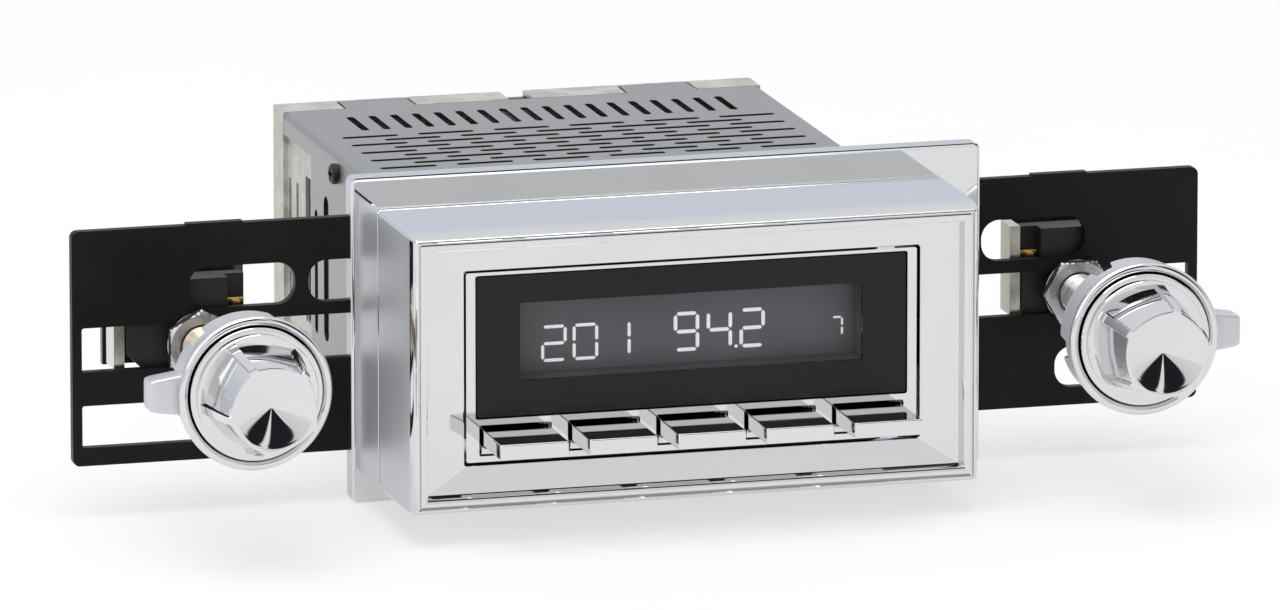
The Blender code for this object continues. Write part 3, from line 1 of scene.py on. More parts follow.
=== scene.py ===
"""Car radio with a chrome trim collar, piano keys and two knobs: surfaces, finishes, light and camera.

All lengths are in metres. Across is +X to the right of someone facing the front, depth is +Y towards
the rear, counted from the front of the trim flange, and up is +Z.
"""

import math

import bmesh
import bpy
import numpy as np
from bpy.props import FloatProperty, FloatVectorProperty, IntProperty, StringProperty
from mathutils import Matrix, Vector


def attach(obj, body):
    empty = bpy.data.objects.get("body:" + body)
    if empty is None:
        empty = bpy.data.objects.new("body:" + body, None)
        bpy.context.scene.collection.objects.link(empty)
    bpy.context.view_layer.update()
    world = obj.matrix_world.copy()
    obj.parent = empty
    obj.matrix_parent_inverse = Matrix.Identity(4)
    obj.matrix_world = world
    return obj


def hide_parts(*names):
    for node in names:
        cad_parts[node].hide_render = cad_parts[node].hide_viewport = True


bl_info = {
    "name": "Car Radio Surfaces",
    "version": (1, 0, 0),
    "blender": (4, 5, 0),
    "location": "3D View > Sidebar > Car Radio",
    "description": "Builds the fine surfaces and finishes of a shaft-mounted car radio",
    "category": "Object",
}

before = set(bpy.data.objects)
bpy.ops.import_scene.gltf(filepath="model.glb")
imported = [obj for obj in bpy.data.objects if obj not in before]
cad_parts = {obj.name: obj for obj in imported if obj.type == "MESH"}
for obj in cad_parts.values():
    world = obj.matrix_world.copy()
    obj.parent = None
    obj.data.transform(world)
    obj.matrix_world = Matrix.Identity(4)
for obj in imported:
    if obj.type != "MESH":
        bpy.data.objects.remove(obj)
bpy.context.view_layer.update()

FLANGE_Y = -0.0235
QUARTER = math.pi / 2
WELD = 2e-6
SIDES = {"left": -1, "right": 1}
KEY_NODES = ["key_%d" % number for number in range(1, 6)]


def length(name, description, default):
    """A length that a user can change."""
    return FloatProperty(name=name, description=description, default=default, unit="LENGTH", precision=5)


def colour(name, description, default):
    """A colour that a user can change."""
    return FloatVectorProperty(name=name, description=description, default=default, size=3,
                               min=0.0, max=1.0, subtype="COLOR")


# ---------------------------------------------------------------- sizes that a user can change

class RadioTrimSizes(bpy.types.PropertyGroup):
    half_width: length("Collar half width", "Half of the collar's width", 0.0570)
    low: length("Collar bottom", "Height of the collar's underside", 0.00595)
    high: length("Collar top", "Height of the collar's top", 0.06125)
    wall: length("Collar wall", "Thickness of the collar's wall", 0.0030)
    corner: length("Corner radius", "Radius of the collar's corners", 0.0010)
    seam: length("Seam reach", "How far forward the rear stage ends", 0.0149)
    reach: length("Collar reach", "How far forward the rim stands", 0.0403)
    bead_depth: length("Bead depth", "How far back the rounded front edge starts", 0.0054)
    bead_drop: length("Bead drop", "How far the rounded front edge falls inward", 0.0013)
    opening_half: length("Opening half width", "Half of the front opening's width", 0.0456)
    opening_low: length("Opening bottom", "Height of the opening's lower edge", 0.0148)
    opening_high: length("Opening top", "Height of the opening's upper edge", 0.0531)
    flange_left: length("Flange to the left", "How far the flange stands out to the left", 0.0584)
    flange_right: length("Flange to the right", "How far the flange stands out to the right", 0.0688)
    flange_height: length("Flange height", "Height of the flange", 0.0645)
    flange_depth: length("Flange depth", "Depth of the flange's folded wall", 0.0046)


class RadioFaceSizes(bpy.types.PropertyGroup):
    half_width: length("Face half width", "Half of the faceplate's width", 0.0451)
    low: length("Face bottom", "Height of the faceplate's lower edge", 0.0153)
    high: length("Face top", "Height of the faceplate's upper edge", 0.0526)
    reach: length("Face reach", "How far forward the faceplate stands", 0.0360)
    thickness: length("Face thickness", "Thickness of the faceplate", 0.0038)
    lens_half: length("Lens half width", "Half of the lens' width", 0.04296)
    lens_low: length("Lens bottom", "Height of the lens' lower edge", 0.0240)
    lens_high: length("Lens top", "Height of the lens' upper edge", 0.05167)
    window_half: length("Window half width", "Half of the display window's width", 0.0343)
    window_low: length("Window bottom", "Height of the display window's lower edge", 0.03086)
    window_high: length("Window top", "Height of the display window's upper edge", 0.04615)
    digit_reach: length("Digit reach", "How far forward the display's digits lie", 0.02868)
    digit_stroke: length("Digit stroke", "Width of a digit's bars", 0.00062)
    readout: StringProperty(name="Readout", description="The large number on the display", default="94.2")


class RadioKeySizes(bpy.types.PropertyGroup):
    pitch: length("Key pitch", "Distance between two keys", 0.01765)
    width: length("Key width", "Width of a key", 0.01355)
    reach: length("Key reach", "How far forward a key stands", 0.0504)
    fillet: length("Fillet depth", "Depth of the hollow curve at a key's root", 0.0016)
    edge: length("Edge rounding", "Rounding along a key's edges", 0.00030)


class RadioCoverSizes(bpy.types.PropertyGroup):
    half_width: length("Cover half width", "Half of the cover's width", 0.0495)
    high: length("Cover top", "Height of the cover's top", 0.05944)
    low: length("Cover hem", "Height of the skirts' hem", 0.0080)
    front: length("Cover front", "Depth of the cover's front edge", 0.0035)
    rear: length("Cover rear", "Depth of the cover's rear edge", 0.0887)
    sheet: length("Sheet", "Thickness of the cover's sheet", 0.0006)
    bend: length("Bend radius", "Radius of the folds, at the middle of the sheet", 0.0013)


class RadioPlateSizes(bpy.types.PropertyGroup):
    outer: length("Plate reach", "How far out a plate stands", 0.1139)
    low: length("Plate bottom", "Height of a plate's lower edge", 0.0105)
    high: length("Plate top", "Height of a plate's upper edge", 0.05693)
    front: length("Plate front", "Depth of a plate's front face", 0.0012)
    sheet: length("Plate sheet", "Thickness of a plate", 0.0020)
    bend: length("Bend radius", "Radius of the fold, at the middle of the sheet", 0.0016)


class RadioKnobSizes(bpy.types.PropertyGroup):
    place: length("Shaft place", "How far out the shafts stand", 0.08875)
    height: length("Shaft height", "Height of the shafts", 0.03345)
    reach: length("Knob reach", "How far forward a front knob stands", 0.0590)
    dish: length("Dish depth", "Depth of the hollow in a front knob's face", 0.0028)
    thread_pitch: length("Thread pitch", "Distance between two turns of the thread", 0.0009)
    thread_depth: length("Thread depth", "Depth of the thread", 0.00045)
    facets: IntProperty(name="Facets", description="Number of flats round a front knob", default=5, min=3)


class RadioFinishes(bpy.types.PropertyGroup):
    chrome: colour("Chrome", "Colour of the chrome", (0.700, 0.702, 0.712))
    galvanised: colour("Galvanised steel", "Colour of the chassis", (0.50, 0.51, 0.46))
    cover: colour("Cover steel", "Colour of the cover", (0.33, 0.33, 0.33))
    plate: colour("Plate black", "Colour of the slotted plates", (0.0065, 0.0065, 0.0065))
    plastic: colour("Plastic black", "Colour of the housings", (0.014, 0.014, 0.015))
    lens: colour("Lens black", "Colour of the lens' border", (0.015, 0.015, 0.015))
    display: colour("Display grey", "Colour of the display glass", (0.205, 0.197, 0.218))
    digits: colour("Digits", "Colour of the lit digits", (0.85, 0.86, 0.88))


class RadioStageSettings(bpy.types.PropertyGroup):
    lens: FloatProperty(name="Lens", description="Focal length of the camera", default=421.875,
                        subtype="DISTANCE_CAMERA")
    distance: length("Camera distance", "Distance from the camera to its target", 2.925)
    light: FloatProperty(name="Lamp strength", description="Strength of the soft lamps", default=9.0,
                         min=0.0)


# ---------------------------------------------------------------- surfaces

def rectangle_loops(left, right, low, high, radius, depth, steps=6):
    """Rectangles with circular corners, one for each entry of the arrays. A corner's points are its centre
    plus the radius times the cosine and sine of an angle that runs through a quarter turn, and the four
    corners in turn make the loop. The result has the shape (loops, points, 3)."""
    values = np.broadcast_arrays(*[np.atleast_1d(np.asarray(v, float))
                                   for v in (left, right, low, high, radius, depth)])
    left, right, low, high, radius, depth = [v[:, None] for v in values]
    quarter = np.linspace(0.0, QUARTER, steps + 1)
    angle = (np.arange(4)[:, None] * QUARTER + quarter[None, :]).ravel()[None, :]
    to_right = np.repeat([1, 0, 0, 1], steps + 1)[None, :]
    to_top = np.repeat([1, 1, 0, 0], steps + 1)[None, :]
    across = np.where(to_right, right - radius, left + radius) + radius * np.cos(angle)
    up = np.where(to_top, high - radius, low + radius) + radius * np.sin(angle)
    return np.stack([across, np.broadcast_to(depth, across.shape), up], axis=-1)


def polar_loops(radii, depths, centre, count=192):
    """Circles, or loops whose radius changes with the angle: across is the centre plus radius times cosine,
    up is the centre plus radius times sine. radii and depths are (loops,) or (loops, count) arrays."""
    angle = np.linspace(0.0, 2 * math.pi, count, endpoint=False)[None, :]
    radii = np.asarray(radii, float)
    depths = np.asarray(depths, float)
    radii = radii[:, None] if radii.ndim == 1 else radii
    depths = depths[:, None] if depths.ndim == 1 else depths
    radii, depths, angle = np.broadcast_arrays(radii, depths, angle)
    return np.stack([centre[0] + radii * np.cos(angle), depths, centre[1] + radii * np.sin(angle)], axis=-1)


def loft_faces(loops, points, closed):
    """Four-sided faces of a grid of loops: each face joins two neighbouring points of a loop to the same
    two of the next loop. The points of a loop close on themselves, and closed also joins the last loop
    to the first. An open loft gets a face over each end."""
    rows = np.arange(loops if closed else loops - 1)[:, None]
    columns = np.arange(points)[None, :]
    after = (columns + 1) % points
    below = (rows + 1) % loops
    quads = np.stack([rows * points + columns, rows * points + after,
                      below * points + after, below * points + columns], axis=-1).reshape(-1, 4)
    faces = quads.tolist()
    if not closed:
        faces.append(list(range(points))[::-1])
        faces.append(list(range((loops - 1) * points, loops * points)))
    return faces


def finish_piece(name, parts, body, material, replaces=(), sharp=32.0, weighted=False):
    """Put lofts or meshes of points and faces into one object: doubles welded, faces outward, shaded smooth
    up to the sharp angle, and moved from the flange's depth to the radio's own place."""
    vertices, faces = [], []
    for points, part_faces in parts:
        points = np.asarray(points, float).reshape(-1, 3)
        faces += [[index + len(vertices) for index in face] for face in part_faces]
        vertices += (points + (0.0, FLANGE_Y, 0.0)).tolist()
    mesh = bpy.data.meshes.new(name)
    mesh.from_pydata(vertices, [], faces)
    shape = bmesh.new()
    shape.from_mesh(mesh)
    bmesh.ops.remove_doubles(shape, verts=shape.verts, dist=WELD)
    bmesh.ops.dissolve_degenerate(shape, edges=shape.edges, dist=WELD)
    bmesh.ops.recalc_face_normals(shape, faces=shape.faces)
    shape.to_mesh(mesh)
    shape.free()
    return finish_object(name, mesh, body, material, replaces, sharp, weighted)


def finish_object(name, mesh, body, material, replaces=(), sharp=32.0, weighted=False):
    """Link a mesh as a finished piece on its body, with its material."""
    mesh.shade_smooth()
    mesh.set_sharp_from_angle(angle=math.radians(sharp))
    mesh.materials.clear()
    mesh.materials.append(material)
    piece = bpy.data.objects.new(name, mesh)
    bpy.context.scene.collection.objects.link(piece)
    if weighted:
        modifier = piece.modifiers.new("even_shading", "WEIGHTED_NORMAL")
        modifier.keep_sharp = True
    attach(piece, body)
    if replaces:
        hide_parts(*replaces)
    return piece


def paint_shade_on_faces(piece, name, chosen):
    """Give the chosen faces of a piece a second finish that paints shade on them: a darker, duller chrome on
    the sides of chrome pieces, or black on the walls of vents. The choice is a function of the arrays of the
    faces' middles, counted from the flange, and of their normals."""
    mesh = piece.data
    middles, normals = np.empty(len(mesh.polygons) * 3), np.empty(len(mesh.polygons) * 3)
    mesh.polygons.foreach_get("center", middles)
    mesh.polygons.foreach_get("normal", normals)
    picked = chosen(middles.reshape(-1, 3) - (0.0, FLANGE_Y, 0.0), normals.reshape(-1, 3))
    mesh.materials.append(finish(name))
    mesh.polygons.foreach_set("material_index", picked.astype(np.int32))
    mesh.update()


def break_edges(piece, width):
    """Round a sheet's edges a little."""
    bevel = piece.modifiers.new("edge", "BEVEL")
    bevel.width = width
    bevel.segments = 2
    bevel.limit_method = "ANGLE"
    bevel.angle_limit = math.radians(60.0)


def sheet_mesh(name, outlines, thickness):
    """A flat sheet with holes: the first outline is its edge and the others are holes. A filled curve gives
    the face, thickened to both sides of its plane, and its doubles are welded."""
    curve = bpy.data.curves.new(name, "CURVE")
    curve.dimensions = "2D"
    curve.fill_mode = "BOTH"
    curve.extrude = thickness / 2
    for outline in outlines:
        outline = np.asarray(outline, float)
        spline = curve.splines.new("POLY")
        spline.points.add(len(outline) - 1)
        flat = np.concatenate([outline, np.zeros((len(outline), 1)), np.ones((len(outline), 1))], axis=1)
        spline.points.foreach_set("co", flat.ravel())
        spline.use_cyclic_u = True
    holder = bpy.data.objects.new(name, curve)
    bpy.context.scene.collection.objects.link(holder)
    bpy.context.view_layer.update()
    mesh = bpy.data.meshes.new_from_object(holder.evaluated_get(bpy.context.evaluated_depsgraph_get()))
    bpy.data.objects.remove(holder)
    bpy.data.curves.remove(curve)
    shape = bmesh.new()
    shape.from_mesh(mesh)
    bmesh.ops.remove_doubles(shape, verts=shape.verts, dist=WELD)
    bmesh.ops.recalc_face_normals(shape, faces=shape.faces)
    shape.to_mesh(mesh)
    shape.free()
    return mesh


def cut_across(mesh, places, axis=0):
    """Cut a mesh along planes square to one axis, so that a fold has enough rows."""
    shape = bmesh.new()
    shape.from_mesh(mesh)
    normal = Vector([float(index == axis) for index in range(3)])
    for place in places:
        bmesh.ops.bisect_plane(shape, geom=shape.verts[:] + shape.edges[:] + shape.faces[:], dist=1e-7,
                               plane_co=normal * place, plane_no=normal)
    shape.to_mesh(mesh)
    shape.free()


def read_points(mesh):
    """A mesh's points as an array."""
    points = np.empty(len(mesh.vertices) * 3)
    mesh.vertices.foreach_get("co", points)
    return points.reshape(-1, 3)


def write_points(mesh, points):
    """Put an array back as a mesh's points, with faces turned outward."""
    mesh.vertices.foreach_set("co", np.ascontiguousarray(points, float).ravel())
    shape = bmesh.new()
    shape.from_mesh(mesh)
    bmesh.ops.recalc_face_normals(shape, faces=shape.faces)
    shape.to_mesh(mesh)
    shape.free()
    mesh.update()


def fold(distance, lift, bend_start, radius):
    """A flat pattern bent through a right angle. Up to bend_start a point stays level. Then the sheet's
    middle line follows a quarter circle, and past that it runs straight down. Lift is the height above
    the middle line, and stays square to it. Returns how far across and how far down each point comes."""
    turn = np.clip((distance - bend_start) / radius, 0.0, QUARTER)
    beyond = np.maximum(distance - bend_start - radius * QUARTER, 0.0)
    across = np.minimum(distance, bend_start) + (radius + lift) * np.sin(turn)
    down = radius - (radius + lift) * np.cos(turn) + beyond
    return across, down


def slot_outline(left, right, low, high, near_radius, far_radius=None, steps=8):
    """A slot: four quarter circles, of one radius at its left and one at its right, joined by straight
    sides."""
    far_radius = near_radius if far_radius is None else far_radius
    quarter = np.linspace(0.0, QUARTER, steps + 1)
    corners = ((right, high, far_radius, 0), (left, high, near_radius, 1),
               (left, low, near_radius, 2), (right, low, far_radius, 3))
    points = []
    for across, up, radius, turn in corners:
        angle = quarter + turn * QUARTER
        middle_x = across - radius if turn in (0, 3) else across + radius
        middle_y = up - radius if turn in (0, 1) else up + radius
        points.append(np.stack([middle_x + radius * np.cos(angle),
                                middle_y + radius * np.sin(angle)], axis=-1))
    return np.concatenate(points)


def rounded_step(inset, depth, towards, steps=4):
    """A quarter circle in a section, as (inset, depth) points from one to the other end of an edge."""
    angle = np.linspace(0.0, QUARTER, steps + 1)
    return inset + towards[0] * (1 - np.cos(angle)), depth + towards[1] * np.sin(angle)


# ---------------------------------------------------------------- finishes

def start_finish(name, base, metallic, roughness, specular=0.5, coat=0.0):
    """A material with one Principled shader, and object coordinates for its patterns."""
    material = bpy.data.materials.new(name)
    material.use_nodes = True
    nodes, links = material.node_tree.nodes, material.node_tree.links
    shader = nodes["Principled BSDF"]
    shader.inputs["Base Color"].default_value = (*base, 1.0)
    shader.inputs["Metallic"].default_value = metallic
    shader.inputs["Roughness"].default_value = roughness
    shader.inputs["Specular IOR Level"].default_value = specular
    shader.inputs["Coat Weight"].default_value = coat
    shader.inputs["Coat Roughness"].default_value = 0.08
    return material, nodes, links, shader


def pattern(nodes, links, scale, detail=3.0, stretch=(1.0, 1.0, 1.0), cells=False):
    """A cloudy or a cell pattern on object coordinates. Returns its value."""
    place = nodes.new("ShaderNodeTexCoord")
    mapping = nodes.new("ShaderNodeMapping")
    mapping.inputs["Scale"].default_value = stretch
    links.new(place.outputs["Object"], mapping.inputs["Vector"])
    if cells:
        texture = nodes.new("ShaderNodeTexVoronoi")
        texture.inputs["Scale"].default_value = scale
        separate = nodes.new("ShaderNodeSeparateColor")
        links.new(mapping.outputs["Vector"], texture.inputs["Vector"])
        links.new(texture.outputs["Color"], separate.inputs["Color"])
        return separate.outputs["Red"]
    texture = nodes.new("ShaderNodeTexNoise")
    texture.inputs["Scale"].default_value = scale
    texture.inputs["Detail"].default_value = detail
    links.new(mapping.outputs["Vector"], texture.inputs["Vector"])
    return texture.outputs["Fac"]


def shade_between(nodes, links, value, target, dark, light, low=0.3, high=0.7):
    """Drive a colour between two shades."""
    ramp = nodes.new("ShaderNodeValToRGB")
    ramp.color_ramp.elements[0].position = low
    ramp.color_ramp.elements[0].color = (*dark, 1.0)
    ramp.color_ramp.elements[1].position = high
    ramp.color_ramp.elements[1].color = (*light, 1.0)
    links.new(value, ramp.inputs["Fac"])
    links.new(ramp.outputs["Color"], target)
    return ramp


def gloss_between(nodes, links, value, target, smooth, rough):
    """Drive a roughness between two values."""
    spread = nodes.new("ShaderNodeMapRange")
    spread.inputs["From Min"].default_value = 0.3
    spread.inputs["From Max"].default_value = 0.7
    spread.inputs["To Min"].default_value = smooth
    spread.inputs["To Max"].default_value = rough
    links.new(value, spread.inputs["Value"])
    links.new(spread.outputs["Result"], target)


def relief(nodes, links, value, shader, strength, depth):
    """Raise a fine relief from a pattern."""
    bump = nodes.new("ShaderNodeBump")
    bump.inputs["Strength"].default_value = strength
    bump.inputs["Distance"].default_value = depth
    links.new(value, bump.inputs["Height"])
    links.new(bump.outputs["Normal"], shader.inputs["Normal"])


def shades(base, spread):
    """A darker and a lighter shade round a colour."""
    return [c * (1 - spread) for c in base], [min(1.0, c * (1 + spread)) for c in base]


def grained_finish(name, base, metallic, roughness, spread=0.08, gloss=0.05, scale=120.0, fine=1500.0,
                   strength=0.1, depth=0.00003, stretch=(1.0, 1.0, 1.0), specular=0.5, cells=False):
    """A finish whose colour and gloss drift a little, with a fine grain over it."""
    material, nodes, links, shader = start_finish(name, base, metallic, roughness, specular)
    cloud = pattern(nodes, links, scale, stretch=stretch, cells=cells)
    dark, light = shades(base, spread)
    shade_between(nodes, links, cloud, shader.inputs["Base Color"], dark, light)
    gloss_between(nodes, links, cloud, shader.inputs["Roughness"], max(0.02, roughness - gloss),
                  roughness + gloss)
    relief(nodes, links, pattern(nodes, links, fine, 2.0, stretch), shader, strength, depth)
    return material


def board_finish(name, base):
    """Board lacquer over fine copper tracks, which show as thin lighter lines of a brick pattern."""
    material, nodes, links, shader = start_finish(name, base, 0.0, 0.32, coat=0.3)
    place = nodes.new("ShaderNodeTexCoord")
    brick = nodes.new("ShaderNodeTexBrick")
    brick.inputs["Scale"].default_value = 240.0
    brick.inputs["Mortar Size"].default_value = 0.035
    for socket, share in (("Color1", 0.85), ("Color2", 1.1), ("Mortar", 1.9)):
        brick.inputs[socket].default_value = (*[c * share for c in base], 1.0)
    links.new(place.outputs["Object"], brick.inputs["Vector"])
    links.new(brick.outputs["Color"], shader.inputs["Base Color"])
    relief(nodes, links, pattern(nodes, links, 400.0), shader, 0.08, 0.00005)
    return material


def digit_finish(name, base):
    """Lit display bars, a little uneven."""
    material, nodes, links, shader = start_finish(name, base, 0.0, 0.5)
    cloud = pattern(nodes, links, 900.0)
    dark, light = shades(base, 0.08)
    shade_between(nodes, links, cloud, shader.inputs["Base Color"], dark, light)
    shader.inputs["Emission Color"].default_value = (0.86, 0.88, 0.90, 1.0)
    shader.inputs["Emission Strength"].default_value = 0.65
    return material


def pane_finish(name):
    """Clear tinted plastic: a dark gloss that lets most of the light through."""
    material, nodes, links, shader = start_finish(name, (0.02, 0.02, 0.022), 0.0, 0.06, specular=0.25)
    shader.inputs["Alpha"].default_value = 0.14
    gloss_between(nodes, links, pattern(nodes, links, 60.0), shader.inputs["Roughness"], 0.04, 0.09)
    return material


# Each finish: its label, its colour or the setting that holds it, metallic share and roughness, and how
# its clouds, grain and relief differ from the plain ones.
GRAINED_FINISHES = {
    "chrome": ("bright chrome", "chrome", 1.0, 0.055,
               dict(spread=0.015, gloss=0.02, scale=35.0, fine=260.0, strength=0.012, depth=0.0001)),
    # A duller, darker copy of the chrome for faces that point sideways or lie on a knob's skirt: painted
    # shade on the sides of the chrome pieces.
    "shaded_side_chrome": ("soft chrome", (0.62, 0.625, 0.66), 0.65, 0.45,
                    dict(spread=0.03, gloss=0.03, scale=30.0, fine=260.0, strength=0.02, depth=0.0001)),
    "galvanised": ("zinc spangle", "galvanised", 0.55, 0.45,
                   dict(spread=0.12, gloss=0.08, scale=330.0, fine=2200.0, strength=0.35, depth=0.00006,
                        cells=True)),
    "cover": ("satin cover steel", "cover", 0.75, 0.40,
              dict(spread=0.06, gloss=0.06, scale=55.0, fine=2600.0, strength=0.12,
                   stretch=(1.0, 0.25, 1.0))),
    "plate": ("satin black steel", "plate", 0.0, 0.42,
              dict(spread=0.25, gloss=0.06, scale=90.0, fine=2400.0, strength=0.12, specular=0.14)),
    "plastic": ("moulded black", "plastic", 0.0, 0.46,
                dict(spread=0.2, gloss=0.06, scale=140.0, fine=3000.0, strength=0.25, specular=0.35)),
    "mask": ("mask black", (0.11, 0.11, 0.112), 0.0, 0.5,
             dict(spread=0.15, scale=140.0, fine=3000.0, strength=0.2, specular=0.3)),
    "lens": ("gloss black", "lens", 0.0, 0.10,
             dict(spread=0.08, gloss=0.03, scale=40.0, fine=200.0, strength=0.01, depth=0.0001,
                  specular=0.15)),
    "display": ("display glass", "display", 0.0, 0.30,
                dict(spread=0.10, gloss=0.04, scale=45.0, fine=3500.0, strength=0.05, depth=0.00002,
                     specular=0.3)),
    "guide": ("milky plastic", (0.70, 0.72, 0.72), 0.0, 0.35, dict(spread=0.05)),
    "rubber": ("grey rubber", (0.09, 0.09, 0.09), 0.0, 0.75, dict(spread=0.15, fine=2500.0, strength=0.3)),
    "zinc": ("plated zinc", (0.50, 0.51, 0.52), 0.95, 0.28,
             dict(spread=0.10, gloss=0.07, scale=260.0, fine=1800.0, strength=0.15)),
    "steel": ("ground steel", (0.56, 0.56, 0.55), 1.0, 0.24,
              dict(spread=0.08, gloss=0.06, scale=300.0, fine=2600.0, strength=0.18,
                   stretch=(1.0, 6.0, 1.0))),
    "nickel": ("bright nickel", (0.64, 0.62, 0.56), 1.0, 0.18, dict(spread=0.06, scale=200.0)),
    "gold": ("gold plate", (0.83, 0.58, 0.22), 1.0, 0.20, dict(spread=0.08, scale=300.0)),
    "aluminium": ("drawn aluminium", (0.70, 0.71, 0.72), 1.0, 0.34,
                  dict(spread=0.06, scale=260.0, fine=2600.0, strength=0.15, stretch=(1.0, 1.0, 0.1))),
    "brass": ("dull brass", (0.52, 0.47, 0.38), 1.0, 0.26,
              dict(spread=0.16, gloss=0.08, scale=380.0, fine=2200.0, strength=0.2)),
}
SPECIAL_FINISHES = {
    "pane": lambda settings: pane_finish("tinted pane"),
    "digits": lambda settings: digit_finish("lit digits", settings.digits),
    "board": lambda settings: board_finish("green board", (0.020, 0.10, 0.045)),
    "dark_board": lambda settings: board_finish("black board", (0.012, 0.013, 0.012)),
}
FINISHES = {}


def finish(name):
    """A finish by name, made when it is first asked for."""
    if name not in FINISHES:
        settings = bpy.context.scene.radio_finishes
        if name in SPECIAL_FINISHES:
            FINISHES[name] = SPECIAL_FINISHES[name](settings)
        else:
            label, base, metallic, roughness, options = GRAINED_FINISHES[name]
            base = getattr(settings, base) if isinstance(base, str) else base
            FINISHES[name] = grained_finish(label, base, metallic, roughness, **options)
    return FINISHES[name]


NODE_FINISHES = {
    "nose_housing": "plastic", "display_mask": "mask", "light_guide": "guide", "display_board": "board",
    "key_mat": "rubber", "front_bulkhead": "galvanised", "chassis_tray": "galvanised",
    "main_board": "board", "tuner_can": "zinc", "heat_sink": "aluminium", "power_socket": "plastic",
    "aerial_socket": "nickel", "display_glass": "display",
}
SIDE_FINISHES = {
    "plate_screw_1": "zinc", "plate_screw_2": "zinc", "cover_screw": "plastic",
    "controller_housing": "plastic", "controller_board": "dark_board", "bracket": "nickel",
    "connector": "gold",
    "outer_shaft": "steel", "inner_shaft": "steel", "push_plunger": "plastic",
}


def dress_node(node, name):
    """Give a node that keeps its shape a worked finish."""
    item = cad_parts[node]
    for index in range(max(1, len(item.material_slots))):
        if item.material_slots:
            item.material_slots[index].material = finish(name)
        else:
            item.data.materials.append(finish(name))


# ---------------------------------------------------------------- trim

def trim_sections(sizes, insets, reaches):
    """Rectangles inset from the collar's outline by each inset, with corners that shrink to stay sharp."""
    insets = np.asarray(insets, float)
    radius = np.maximum(sizes.corner - insets * 0.5, 0.00025)
    return rectangle_loops(insets - sizes.half_width, sizes.half_width - insets, sizes.low + insets,
                           sizes.high - insets, radius, -np.asarray(reaches, float))


class RADIO_OT_rear_trim(bpy.types.Operator):
    """Build the flange with its folded wall and the collar's rear stage."""
    bl_idname = "radio.rear_trim"
    bl_label = "Rear trim"

    def execute(self, context):
        s = context.scene.radio_trim
        sheet, wall, edge = 0.0009, 0.0012, 0.0006
        end = s.seam - 0.0003
        collar = trim_sections(s, [s.wall, s.wall, s.wall - 0.0003, 0.0001, 0.0, 0.0],
                               [-sheet, end - 0.0002, end, end, end - 0.0001, 0.0])
        inset, depth = rounded_step(edge, 0.0, (-edge, edge), 4)
        inset = np.concatenate([inset, [0.0, 0.0002, wall, wall]])
        depth = np.concatenate([depth, [s.flange_depth - 0.0002, s.flange_depth, s.flange_depth, sheet]])
        flange = rectangle_loops(inset - s.flange_left, s.flange_right - inset, inset,
                                 s.flange_height - inset, np.maximum(0.0013 - inset, 0.0003), depth)
        loops = np.concatenate([collar, flange])
        piece = finish_piece("rear_trim_surface", [(loops, loft_faces(len(loops), loops.shape[1], True))],
                             "chassis", finish("chrome"), ["rear_trim"], weighted=True)
        # The sideways faces of the flange and the collar take the darker chrome copy: painted shade on the
        # sides.
        paint_shade_on_faces(piece, "shaded_side_chrome", lambda middles, normals: np.abs(normals[:, 0]) > 0.9)
        # A thin black strip set in the seam between the rear and front trims: painted shade in the gap, where
        # the chrome walls inside would otherwise show bright.
        strip = trim_sections(s, [0.0026, 0.0002, 0.0002, 0.0026],
                              s.seam + np.array([-0.00028, -0.00028, 0.00028, 0.00028]))
        finish_piece("seam_strip", [(strip, loft_faces(4, strip.shape[1], True))], "chassis",
                     finish("plastic"))
        return {"FINISHED"}


# The rim's groove, its raised edge and the drop to the slope: how far in and how far forward.
RIM_SECTION = 0.001 * np.array([
    (1.30, 40.30), (1.45, 40.20), (1.62, 39.55), (1.80, 39.50), (1.95, 39.80), (2.2, 39.90), (3.0, 39.80),
    (3.3, 39.60), (3.45, 39.20), (3.52, 37.60), (3.60, 37.24), (3.75, 37.26)])


class RADIO_OT_front_trim(bpy.types.Operator):
    """Build the collar's front stage: rounded lip, groove, rim, drop, slope and opening."""
    bl_idname = "radio.front_trim"
    bl_label = "Front trim"

    def execute(self, context):
        s = context.scene.radio_trim
        back = s.seam + 0.0003
        turn = np.linspace(0.0, math.radians(84.0), 11)
        start = s.reach - s.bead_depth
        insets = np.concatenate([[s.wall, s.wall, 0.0001, 0.0], s.bead_drop * (1 - np.cos(turn)),
                                 RIM_SECTION[:, 0]])
        reaches = np.concatenate([[start - 0.001, back, back, back + 0.0001],
                                  start + s.bead_depth * np.sin(turn), RIM_SECTION[:, 1]])
        outer = trim_sections(s, insets, reaches)
        edge = np.array([0.00035, 0.0001, 0.0, 0.0, 0.0])
        opening = rectangle_loops(-s.opening_half - edge, s.opening_half + edge, s.opening_low - edge,
                                  s.opening_high + edge, 0.0005,
                                  [-0.03655, -0.0365, -0.0363, -0.0352, -0.0349])
        inner = trim_sections(s, [s.wall + 0.0004], [0.0349])
        loops = np.concatenate([outer, opening, inner])
        piece = finish_piece("front_trim_surface", [(loops, loft_faces(len(loops), loops.shape[1], True))],
                             "chassis", finish("chrome"), ["front_trim"], weighted=True)
        # The collar's outer side faces take the darker chrome copy: painted shade on the sides.
        paint_shade_on_faces(piece, "shaded_side_chrome", lambda middles, normals:
                     (np.abs(normals[:, 0]) > 0.98) & (np.abs(middles[:, 0]) > s.half_width - 0.0002))
        return {"FINISHED"}


# ---------------------------------------------------------------- face, display and keys

KEY_CLEARANCE = 0.00045
KEY_OPENING = (0.01645, 0.02255)


